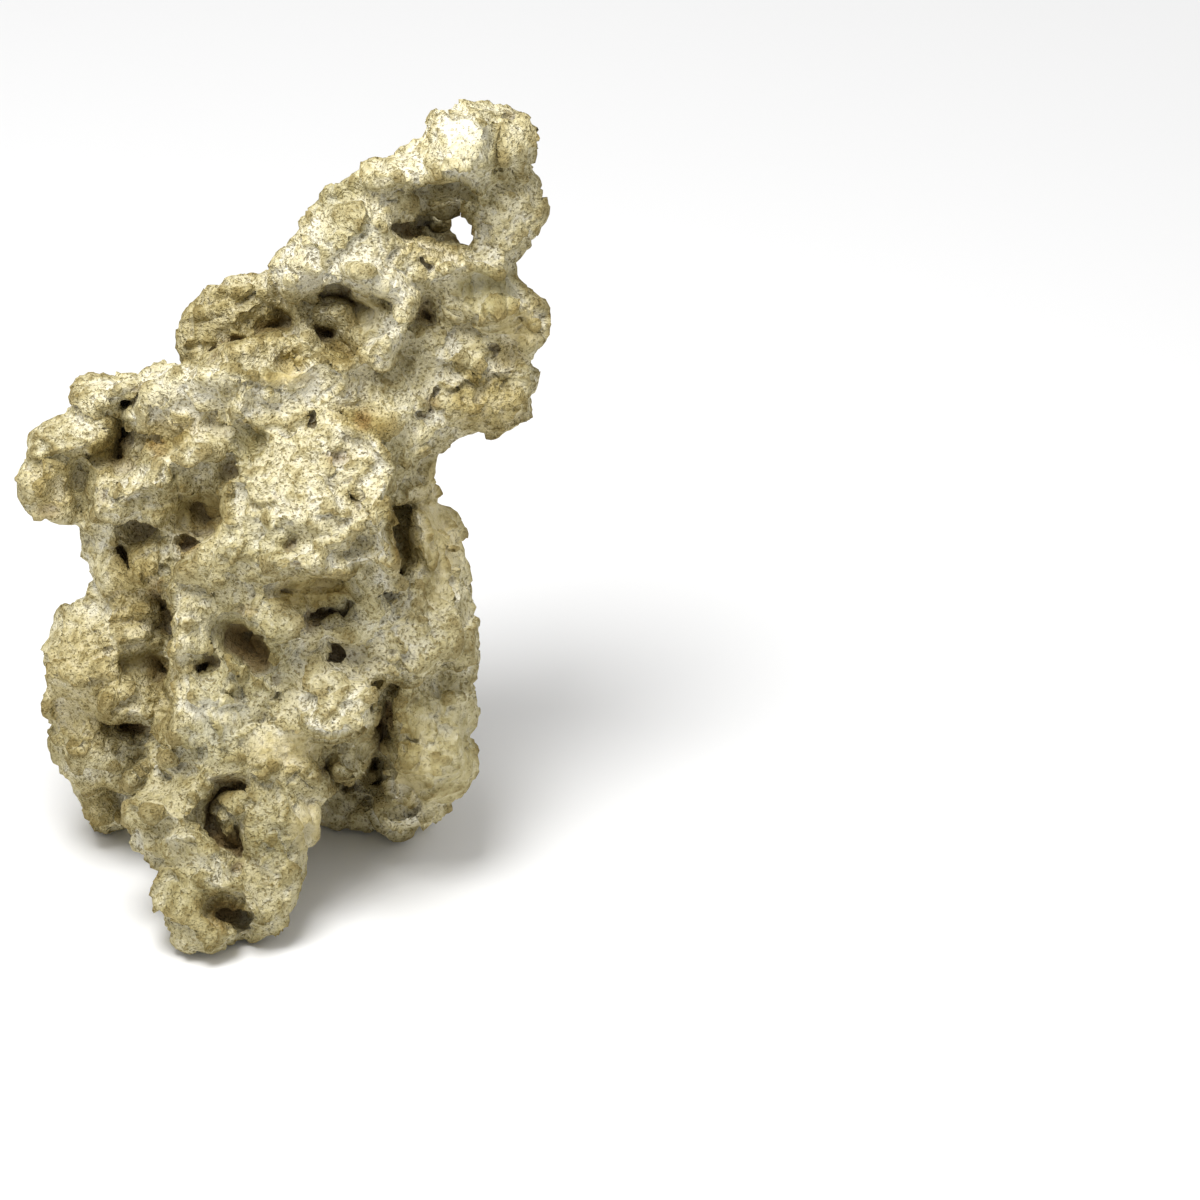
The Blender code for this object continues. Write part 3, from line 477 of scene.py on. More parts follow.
def smooth(low, high, values):
    """0 below low, 1 above high, and 3t^2-2t^3 between; the other way round where low is the higher."""
    part = np.clip((values - low) / (high - low), 0, 1)
    return part * part * (3 - 2 * part)


def segment_gaps(at, path):
    """For places on the picture plane: the distance to the path, which side of it they lie on
    (1 left, -1 right) and how far along it, 0 to 1."""
    path = np.array(path, np.float32)
    lengths = np.linalg.norm(np.diff(path, axis=0), axis=1)
    starts = np.concatenate([[0], np.cumsum(lengths)])
    best = np.full(len(at), np.inf, np.float32)
    side = np.zeros(len(at), np.float32)
    along = np.zeros(len(at), np.float32)
    for k, length in enumerate(lengths):
        way = (path[k + 1] - path[k]) / length
        off = at - path[k]
        run = np.clip(off @ way, 0, length)
        gap = np.linalg.norm(off - run[:, None] * way, axis=1)
        turn = np.sign(way[0] * off[:, 1] - way[1] * off[:, 0])
        closer = gap < best
        best = np.where(closer, gap, best)
        side = np.where(closer, turn, side)
        along = np.where(closer, (starts[k] + run) / starts[-1], along)
    return best, side, along


def is_ledge(left, right):
    """Whether a stroke is steep on one side only."""
    return max(left, right) > LEDGE_RATIO * min(left, right)


def stroke_height(gaps, height, left, right):
    """How far a stroke lifts each place: its height at the path, tapering to its ends. A ridge is
    round across, (1-t^2)^0.75 where t is the gap over the width on that side. A ledge and a crease
    fall by (1-t)^1.35, and a ledge has a groove at the foot of its steep side."""
    gap, side, along = gaps
    width = np.where(side > 0, left, right)
    if height > 0 and not is_ledge(left, right):
        part = np.clip(1 - (gap / width) ** 2, 0, 1) ** RIDGE_POWER
    else:
        part = np.clip(1 - gap / width, 0, 1) ** STROKE_POWER
    if height > 0 and is_ledge(left, right):
        foot = np.clip(1 - (gap - width) / GROOVE_WIDTH, 0, 1) ** 2
        foot = foot * (gap >= width) * (width < max(left, right))
        part = part - min(GROOVE_DEPTH / height, GROOVE_SHARE) * foot
    return height * part * smooth(*STROKE_ENDS, np.minimum(along, 1 - along))


def ledge_shade_and_rim_light_of(gaps, height, left, right):
    """How much painted shade a stroke gives each place: up to 1 at a ledge's foot, half in a crease, and
    a little below nothing, which is painted light, on a ridge and along the rim above a ledge's foot."""
    gap, side, along = gaps
    ends = smooth(0.0, STROKE_ENDS[1], np.minimum(along, 1 - along))
    if height < 0:
        return CREASE_SHADE * np.clip(1 - gap / (2 * max(left, right)), 0, 1) * ends
    if not is_ledge(left, right):
        return -RIM_LIGHT * np.clip(1 - gap / max(left, right), 0, 1) * ends
    foot = side > 0 if left < right else side < 0
    below = np.clip(1 - gap / LEDGE_SHADE_WIDTH, 0, 1) * min(1.0, height / LEDGE_SHADE_HEIGHT)
    return np.where(foot, below, -RIM_LIGHT * np.clip(1 - gap / RIM_WIDTH, 0, 1)) * ends


def patch_height(at, middle, radii, turn, height, soft):
    """How far a flat patch lifts each place: its height inside an ellipse, falling to nothing over
    its soft edge."""
    angle = math.radians(turn)
    off = at - np.array(middle, np.float32)
    x = (off[:, 0] * math.cos(angle) + off[:, 1] * math.sin(angle)) / radii[0]
    y = (off[:, 1] * math.cos(angle) - off[:, 0] * math.sin(angle)) / radii[1]
    inside = (1 - np.sqrt(x * x + y * y)) * min(radii)
    return height * smooth(-soft / 2, soft / 2, inside)


def picture_place(at):
    """Across, up and towards, in the drawing's own millimetres, of places in the stone's frame, with
    across and up moved by a fine drift so that no drawn edge is straight."""
    across, up = at @ ACROSS + DRAWING_SHIFT[0], at @ UP + DRAWING_SHIFT[1]
    for length, reach, seed in DRAWING_WANDER:
        across = across + reach * noise(at, length, seed)
        up = up + reach * noise(at, length, seed + WANDER_SEED_STEP)
    return across.astype(np.float32), up.astype(np.float32), (at @ TOWARD).astype(np.float32)


def front_depths():
    """How far towards the viewer the skin stands at each place of the drawing, by stepping along the
    line of sight from in front until the field is all but nothing."""
    start = (drawing_at[:, :1] - DRAWING_SHIFT[0]) * ACROSS + (drawing_at[:, 1:] - DRAWING_SHIFT[1]) * UP
    depth = np.full(len(drawing_at), SIGHT_REACH, np.float32)
    open_still = np.arange(len(drawing_at))
    while len(open_still) and depth[open_still].max() > -SIGHT_REACH:
        place = start[open_still] + depth[open_still, None] * TOWARD
        inside = (place - field_low) / CELL
        out = np.any((inside < 0) | (inside > shape - 2), axis=1)
        gap = np.where(out, SIGHT_AIR, between(field, inside))
        depth[open_still] -= np.clip(gap * SIGHT_SHARE, *SIGHT_STEPS)
        open_still = open_still[(gap > SIGHT_SKIN) & (depth[open_still] > -SIGHT_REACH)]
    return depth.reshape(*drawing_shape, 1)


def read_drawing(values, across, up):
    """A drawing's values at places across and up."""
    place = np.column_stack([across, up, np.zeros(len(across))]) - np.append(DRAWING_LOW, 0)
    return between(np.repeat(values, 2, axis=2), place / np.array([DRAWING_STEP, DRAWING_STEP, 1.0]))


def reached(index, depth):
    """Of the cells with those flat indices, the ones no deeper behind the front skin than depth:
    flat indices, places, and across, up and how far behind."""
    at = cell_places(index)
    across, up = at @ ACROSS + DRAWING_SHIFT[0], at @ UP + DRAWING_SHIFT[1]
    near = read_drawing(front, across, up) - at @ TOWARD < depth
    index, at = index[near], at[near]
    across, up, toward = picture_place(at)
    return index, at, across, up, read_drawing(front, across, up) - toward


drawing_shape = np.round((DRAWING_HIGH - DRAWING_LOW) / DRAWING_STEP).astype(int)
drawing_at = (lattice(drawing_shape) * DRAWING_STEP + DRAWING_LOW).astype(np.float32)
drawing = np.zeros(len(drawing_at), np.float32)
# Each stroke also paints shade into the stone's colour: darker under a ledge and in a crease, a little
# lighter on a ridge and along a ledge's rim.
painted_ledge_shade_and_rim_light = drawing.copy()
for strokes in LINES.values():
    for path, *sizes in strokes:
        gaps = segment_gaps(drawing_at, path)
        drawing += DRAWING_GAIN * stroke_height(gaps, *sizes)
        painted_ledge_shade_and_rim_light += ledge_shade_and_rim_light_of(gaps, *sizes)
for patches in PATCHES.values():
    for patch in patches:
        drawing += patch_height(drawing_at, *patch)
drawing = drawing.reshape(*drawing_shape, 1)
painted_ledge_shade_and_rim_light = np.clip(painted_ledge_shade_and_rim_light, *LEDGE_SHADE_LIMITS).reshape(*drawing_shape, 1)

front = front_depths()
index, at, across, up, behind = reached(np.flatnonzero(np.abs(field) < BAND), FRONT_LAYER[1])
lift = read_drawing(drawing, across, up) * (1 - smooth(*FRONT_LAYER, behind))
field.reshape(-1)[index] = between(field, (at - lift[:, None] * TOWARD - field_low) / CELL)


# The scallops. The sea eats the whole skin into round hollows with sharp crests between them, at
# three sizes. The front has its own drawn relief, so the sides that the picture doesn't show get
# deeper ones, and the flats that the stone stands on get none.
SCALLOPS = ((14.0, 0.8, 51), (7.5, 0.7, 52), (4.2, 0.40, 53))
SCALLOP_RIDGE = (0.8, 2.6)
HIDDEN = (22.0, 45.0)
HIDDEN_WEAR = 0.9
FOOT_RISE = 3.0


def scallops(at, length, height, seed):
    """Millimetres out of the skin: a part of the height, less a larger part times the size of smooth
    noise, so that the crests are sharp and the hollows round."""
    crest, hollow = SCALLOP_RIDGE
    return height * (crest - hollow * np.abs(noise(at, length, seed)))


index, at = near_skin()
moved = drifted(at)
hidden = smooth(*HIDDEN, read_drawing(front, *picture_place(at)[:2]) - at @ TOWARD)
worn = sum(scallops(moved, *scallop) for scallop in SCALLOPS) * (1 + HIDDEN_WEAR * hidden)
field.reshape(-1)[index] -= worn * smooth(0.0, FOOT_RISE, at[:, 2])


# The holes. Worms, mussels and the sea have drilled the stone through and through. Those in the
# picture are carved where it shows them, and holes of the same kinds are strewn over the sides that
# it doesn't show, which are guessed. Each hole's wall, from a little way inside its mouth, is marked
# for painted shade: the material colours it a darker brown.
WINDOW_DEPTH = 95.0
HOLE_LAYER = 5.0
HOLE_MARGIN = 2.0
HOLE_SHARE = 2.6
HOLE_TAPER = 0.35
HOLE_ROUND = 0.6
PAINTED_RADIUS = 1.0
WALL_NEAR = (-2.4, -0.9)
WALL_START = (1.0, 5.5)
WALL_END = (14.0, 26.0)
STREWN_SEED = 91
STREWN_HOLES = 90
STREWN_RADIUS = (1.5, 4.6)
STREWN_SHARE = (0.6, 1.0)
STREWN_DEPTH = (0.7, 1.9)
STREWN_REACH = 12
STREWN_MOUTH = 2.0
STREWN_SQUEEZE = 0.45
BLADE_WIDTH = 1.1
BLADE_CREST = 0.6

# Each hole: its path across its mouth, its radius and its depth along the line of sight. None but
# the window is let go deeper than HOLE_SHARE times its radius.
HOLES = {
    "peak": (
        ([(34, 217), (37, 216.8), (40, 215.6)], 2.6, 10), ([(40.5, 221.5), (43, 222.5)], 1.1, 8),
        ([(44, 216.8), (48.5, 215.2)], 2.0, 10), ([(51.2, 217.2), (54, 213.8)], 2.9, 90),
        ([(54.5, 219.3), (56.5, 214.5)], 1.7, 9), ([(36.7, 240.5), (37.3, 240.5)], 0.9, 3),
        ([(41, 247.5), (42, 248)], 0.8, 3), ([(42.2, 242.5), (42.8, 242)], 0.9, 3),
        ([(67.5, 250), (68.5, 249)], 1.2, 3), ([(68.2, 233.5), (68.8, 232.5)], 0.9, 3),
        ([(69.5, 228.5), (70.5, 227.5)], 1.0, 3), ([(31.2, 220.5), (31.7, 220.5)], 0.7, 3),
    ),
    "neck": (
        ([(-20, 180.6), (-18.5, 180.8)], 2.2, 9), ([(-15, 183.3), (-11.5, 183.6)], 1.9, 9),
        ([(12.5, 197), (16, 196.5), (19.8, 196)], 2.5, 9), ([(11.2, 186), (14.8, 185.8)], 2.7, 9),
        ([(11.4, 184), (11.4, 182.4)], 1.0, 8),
    ),
    "east": (
        ([(41.8, 207.5), (43.8, 205.6)], 1.1, 6), ([(41.6, 197.3), (42.6, 195)], 0.9, 7),
        ([(42, 191.6), (44.4, 190.6)], 1.8, 6), ([(44.2, 189), (45.6, 187.4)], 0.9, 7),
        ([(47, 193), (47, 190.6)], 0.6, 4), ([(61, 180.9), (62.4, 180.2)], 1.3, 7),
        ([(46, 168.3), (43.8, 166), (44.2, 163.9), (42.2, 161.6)], 1.15, 7),
        ([(23.5, 160), (25.3, 158.2)], 1.1, 5),
    ),
    "west": (
        ([(-53, 162), (-49.5, 161), (-46.3, 160.3)], 1.2, 12),
        ([(-47.8, 158), (-48, 154), (-48.6, 150.5), (-49.4, 149)], 2.2, 10),
        ([(-47.5, 164.8), (-44, 165.5), (-43, 168)], 1.9, 9), ([(-73, 153), (-71.3, 151)], 1.0, 4),
        ([(-29.5, 123.4), (-27.8, 123.4)], 2.0, 5),
        ([(-48.7, 120.8), (-47, 118.7), (-45.5, 116)], 2.2, 8),
        ([(-38.3, 108.5), (-36.3, 104.5)], 1.3, 5), ([(-53, 137.5), (-52.5, 135.3)], 1.1, 4),
    ),
    "boulder": (
        ([(38, 119), (38.5, 118)], 1.2, 2.5), ([(42.6, 114.5), (42.8, 110.5), (42.3, 107.3)], 1.0, 7),
        ([(42.6, 109), (43.8, 109)], 0.6, 4), ([(21.3, 137.5), (22.2, 136.5)], 1.5, 5),
        ([(2, 121.8), (3.2, 122.8)], 1.5, 6), ([(4, 116), (4.6, 116.3)], 1.4, 7),
        ([(2, 157.2), (2.5, 156.8)], 1.4, 5), ([(-3.4, 159.3), (-3, 159.3)], 1.1, 3),
        ([(7.4, 161.6), (7.9, 161.2)], 1.0, 3), ([(9.6, 159.2), (10, 158.8)], 1.1, 3),
        ([(13.8, 149), (14.3, 149)], 0.8, 2.5), ([(17, 148.7), (18, 148.7)], 1.2, 2.5),
        ([(30.7, 109), (32.8, 105.6)], 0.9, 3), ([(21, 133.2), (21.5, 132.8)], 0.8, 3),
    ),
    "holed face": (
        ([(-24.8, 86.5), (-22.7, 87.2)], 3.2, 10), ([(-13, 94.5), (-10.5, 92.5), (-7.5, 90)], 4.9, 6),
        ([(-9.8, 88.8), (-9, 88.8)], 0.6, 3), ([(9, 100.8), (12, 101.5), (14.5, 102.8)], 2.8, 9),
        ([(18.8, 106.5), (19.3, 103), (18.5, 100.5)], 1.8, 5), ([(21.3, 105.7), (21.8, 105.3)], 1.2, 4),
        ([(15, 91), (16.3, 90)], 1.9, 5), ([(13.8, 90), (13.6, 88)], 0.7, 4),
        ([(11.8, 97.5), (13, 95.5)], 0.7, 4), ([(-19, 61.5), (-16.5, 61)], 0.9, 3),
        ([(-1.8, 83.2), (-1.2, 82.8)], 1.1, 3), ([(0.6, 82), (1, 81.6)], 0.9, 3),
        ([(-2.5, 78.5), (-0.5, 76.5)], 0.8, 2.5), ([(13.9, 71.8), (14.1, 71.8)], 0.7, 3),
    ),
    "west lobe": (
        ([(-55, 91), (-52.3, 91.8)], 0.9, 3.5), ([(-57.5, 82), (-55.8, 83)], 0.8, 3),
        ([(-50.2, 85), (-50.2, 82)], 0.5, 3), ([(-54, 70.6), (-50, 69.2)], 0.9, 6),
        ([(-47.5, 69), (-44.5, 68.8), (-42, 68.5)], 2.6, 9), ([(-45, 66), (-45, 65)], 1.2, 8),
        ([(-37.8, 67.3), (-37.3, 67.3)], 0.8, 3), ([(-58.5, 65), (-58.2, 62.5)], 0.6, 3),
    ),
    "foot": (
        ([(-11.5, 50.3), (-15, 50.8), (-18.5, 50), (-21.3, 47.5)], 2.4, 9),
        ([(-21.3, 47.5), (-22.6, 44), (-22.3, 40), (-20.5, 36.5)], 2.1, 9),
        ([(-20.5, 36.5), (-17.5, 33.8), (-14.5, 33), (-13.2, 33.5)], 2.6, 10),
        ([(-12.8, 38.8), (-12.8, 35), (-13.2, 32)], 2.0, 10),
        ([(-18, 13), (-15, 12), (-13, 11.5)], 3.2, 4), ([(-13.7, 26.6), (-13.3, 26.4)], 0.8, 2.5),
        ([(5.5, 54), (7.7, 52)], 0.7, 3),
    ),
    "east lobe": (
        ([(31, 74.5), (30.2, 69), (28.6, 62), (27.5, 57)], 2.6, 6), ([(22, 53), (23.2, 53.1)], 0.6, 3),
        ([(31.5, 43), (34, 41.5)], 0.9, 4), ([(37, 42.5), (38.5, 45)], 1.0, 4),
        ([(36.5, 83.6), (36.9, 83.4)], 0.7, 4), ([(12.5, 55.5), (15, 52.5), (17, 51)], 2.6, 9),
    ),
}


def carved(values, hollow, round_over):
    """The larger of the field and the hollow's own field, with the edge where they meet rounded."""
    near = np.maximum(round_over - np.abs(values - hollow), 0) / round_over
    return np.maximum(values, hollow) + near * near * round_over / 4


def outward(at):
    """The way out of the stone at places near its skin: the way in which the field rises fastest."""
    place = (at - field_low) / CELL
    steps = np.eye(3, dtype=np.float32)
    rise = np.stack([between(field, place + step) - between(field, place - step) for step in steps], -1)
    return rise / np.maximum(np.linalg.norm(rise, axis=1, keepdims=True), 1e-6)


def without_blades(values, width):
    """The field without blades thinner than twice that width: the skin is shrunk by the width and
    grown again, and what that takes away is left away where it is more than a rounded crest."""
    grown = field_from(values, -width) - np.float32(width)
    return np.where(grown - values > BLADE_CREST, grown, values)


front = front_depths()
index, at, across, up, behind = reached(np.flatnonzero(field < HOLE_LAYER), WINDOW_DEPTH)
values = field.reshape(-1)[index]
# The walls of the holes are marked, from a little way inside each mouth, to be painted a darker brown as
# painted shade.
hole_wall_shade = np.zeros_like(field)
for holes in HOLES.values():
    for path, radius, depth in holes:
        path = np.array(path, np.float32)
        depth = depth if depth > WINDOW_DEPTH / 2 else min(depth, HOLE_SHARE * radius)
        low, high = path.min(0) - radius - HOLE_MARGIN, path.max(0) + radius + HOLE_MARGIN
        near = np.flatnonzero((across > low[0]) & (across < high[0]) & (up > low[1]) & (up < high[1])
                              & (behind < depth + radius + HOLE_MARGIN))
        gap, _, _ = segment_gaps(np.column_stack([across[near], up[near]]), path)
        down = np.clip(behind[near] / depth, 0, 1)
        past = np.maximum(behind[near] - depth, 0)
        hollow = radius * (1 - HOLE_TAPER * down * down) - np.hypot(gap, past)
        values[near] = carved(values[near], hollow, HOLE_ROUND)
        if radius > PAINTED_RADIUS:
            wall = smooth(*WALL_NEAR, hollow) * smooth(*WALL_START, behind[near])
            wall = wall * (1 - smooth(*WALL_END, behind[near]))
            hole_wall_shade.reshape(-1)[index[near]] = np.maximum(hole_wall_shade.reshape(-1)[index[near]], wall)
field.reshape(-1)[index] = values

chance = np.random.default_rng(STREWN_SEED)
places, _ = surface_of(field)
behind = read_drawing(front, *picture_place(places)[:2]) - places @ TOWARD
places = places[(behind > HIDDEN[0]) & (places[:, 2] > STREWN_REACH)]
mouths = places[chance.integers(len(places), size=STREWN_HOLES)]
for mouth, way in zip(mouths, outward(mouths)):
    radius = chance.uniform(*STREWN_RADIUS) * chance.uniform(*STREWN_SHARE)
    depth = radius * chance.uniform(*STREWN_DEPTH)
    flat = np.cross(way, chance.normal(size=3))
    flat /= np.linalg.norm(flat)
    first = np.floor((mouth - field_low) / CELL).astype(int) - STREWN_REACH
    box = tuple(slice(f, f + 2 * STREWN_REACH) for f in first)
    local = ((lattice((2 * STREWN_REACH,) * 3) + first) * CELL + field_low).astype(np.float32)
    off = drifted(local) - drifted(mouth[None])
    off = off + (off @ flat)[:, None] * flat * STREWN_SQUEEZE
    run = np.clip(off @ way, -depth, STREWN_MOUTH)
    hollow = radius * (1 - HOLE_TAPER * np.clip(-run / depth, 0, 1))
    hollow = (hollow - np.linalg.norm(off - run[:, None] * way, axis=1)).reshape(field[box].shape)
    wall = smooth(*WALL_NEAR, hollow) * smooth(*WALL_START, -run.reshape(hollow.shape))
    field[box] = carved(field[box], hollow, HOLE_ROUND)
    hole_wall_shade[box] = np.maximum(hole_wall_shade[box], wall)

field = without_blades(field, BLADE_WIDTH)
height = (np.arange(shape[2]) * CELL + field_low[2]).astype(np.float32)
field = np.maximum(field, -height[None, None, :])


# The broken skin. Where the stone has cracked it shows flat faces that meet in steps and crests, and
# over them it is crumbled and pitted by the weather. All of it moves the skin's corners outwards or
# inwards, and the mesh is then thinned to what a piece may have.
FACES = ((13.0, 0.30, 0.70, 54), (7.0, 0.16, 0.10, 55))
FACE_TILT = 1.6
CRUMB = ((3.4, 0.62, 61), (1.9, 0.50, 62))
PITS = ((4.6, 1.5, 0.30, 63), (2.9, 1.1, 0.34, 64))
PIT_SHARE = 0.6
PIT_SHARE_EDGE = 0.1
PIT_DEPTHS = (0.6, 0.6)
PIT_SIZES = (0.7, 0.6)
PIT_FLOOR = 0.25
CELL_SHIFT = 0.61
CALM_PATCH = 26.0
CALM_RANGE = (-0.1, 0.6)
CALM_SEED = 71
CALM_SHARE = 0.4
OUT_LIMIT = 1.6
TRIANGLE_LIMIT = 196000
CRISP_ANGLE = math.radians(38)


def cells(at, length, seed):
    """Scattered points, one for each lattice cube of that length. For each place: the distance to
    the nearest point and the way from it, both in lengths, and the point's own four random
    numbers."""
    table = np.random.default_rng(seed).random((TABLE_LENGTH ** 3, 7), np.float32)
    place = at / length + seed * CELL_SHIFT
    whole = np.floor(place).astype(np.int32)
    part = (place - whole).astype(np.float32)
    nearest = np.full(len(at), np.inf, np.float32)
    owner = np.zeros(len(at), np.int32)
    away = np.zeros((len(at), 3), np.float32)
    for step in np.ndindex(3, 3, 3):
        step = np.array(step) - 1
        x, y, z = ((whole + step) % TABLE_LENGTH).T
        row = (x * TABLE_LENGTH + y) * TABLE_LENGTH + z
        way = part - table[row, :3] - step.astype(np.float32)
        gap = np.einsum("ij,ij->i", way, way)
        closer = gap < nearest
        owner = np.where(closer, row, owner)
        away = np.where(closer[:, None], way, away)
        nearest = np.minimum(nearest, gap)
    return np.sqrt(nearest), away, table[owner, 3:]


def faces(at, length, slope, step, seed):
    """Millimetres out of the skin: each scattered point owns a plane with its own tilt, up to that
    slope, and its own height, within that step either way."""
    _, away, own = cells(drifted(at), length, seed)
    tilted = np.einsum("ij,ij->i", away, own[:, :3] * 2 - 1) * length * slope * FACE_TILT
    return tilted + (own[:, 3] * 2 - 1) * step


def pits(at, length, depth, size, seed):
    """Millimetres into the skin: a small cone round some of the scattered points, as wide as that
    size in lengths."""
    nearest, _, own = cells(drifted(at), length, seed)
    kept = smooth(1 - PIT_SHARE, 1 - PIT_SHARE + PIT_SHARE_EDGE, own[:, 0])
    depths = depth * kept * (PIT_DEPTHS[0] + PIT_DEPTHS[1] * own[:, 1])
    sizes = size * (PIT_SIZES[0] + PIT_SIZES[1] * own[:, 2])
    return depths * smooth(1.0, PIT_FLOOR, nearest / sizes)


def corner_values(name, values):
    """Keeps one number for each corner of the rock, for its material to read."""
    layer = rock.data.attributes.new(name, "FLOAT", "POINT")
    layer.data.foreach_set("value", np.ascontiguousarray(values, np.float32))


def largest_piece(corners, quads):
    """Only the corners and faces of the biggest connected piece. Each corner takes the lowest number
    among its neighbours', again and again, until every piece carries one number."""
    number = np.arange(len(corners))
    starts = quads.reshape(-1)
    ends = np.roll(quads, -1, axis=1).reshape(-1)
    while True:
        before = number
        number = number.copy()
        low = np.minimum(before[starts], before[ends])
        np.minimum.at(number, starts, low)
        np.minimum.at(number, ends, low)
        number = number[number]
        number = number[number]
        if np.array_equal(number, before):
            break
    biggest = np.bincount(number).argmax()
    kept = number == biggest
    place = np.cumsum(kept) - 1
    return corners[kept], place[quads[kept[quads[:, 0]]]]


corners, quads = surface_of(field)
corners, quads = largest_piece(corners, quads.astype(np.int64))
calm = smooth(*CALM_RANGE, noise(corners, CALM_PATCH, CALM_SEED))
out = sum(faces(corners, *face) for face in FACES)
out = out + sum(reach * noise(corners, length, seed) for length, reach, seed in CRUMB)
pitted = np.maximum.reduce([pits(corners, *pit) for pit in PITS])
out = (out - pitted) * (1 - CALM_SHARE * calm) * smooth(0.0, FOOT_RISE, corners[:, 2])
corners = corners + outward(corners) * (OUT_LIMIT * np.tanh(out / OUT_LIMIT))[:, None]
corners[:, 2] = np.maximum(corners[:, 2], 0.0)
rock = new_object("reef_rock_skin", corners.astype(np.float32), quads)
corner_values("pit", pitted)
triangle_count = 2 * len(quads)
print("skin triangles", triangle_count)
rock.data = thinned(rock, TRIANGLE_LIMIT / triangle_count)
rock.data.polygons.foreach_set("use_smooth", np.ones(len(rock.data.polygons), bool))
rock.data.set_sharp_from_angle(angle=CRISP_ANGLE)
print("kept triangles", sum(len(p.vertices) - 2 for p in rock.data.polygons))


# The stone's colour. Sea-worn limestone is chalky, cream and khaki; old algae and iron leave ochre,
# grey and rust in patches. Over that, light and shade are painted in: lighter on crests and rims,
# darker in creases, under ledges, in hollows, in the pores and in the walls of the holes, and brown
# in the deepest places. The skin's corners carry where each of these shows.
NEAR_HOLLOW = 3.0
DEEP_HOLLOW = 7.0
COLOUR_DEPTH = (10.0, 22.0)
CREST_ROUNDS = {"crest": 2, "wide_crest": 8}
ELSEWHERE_EDGE = (0.2, 0.35)
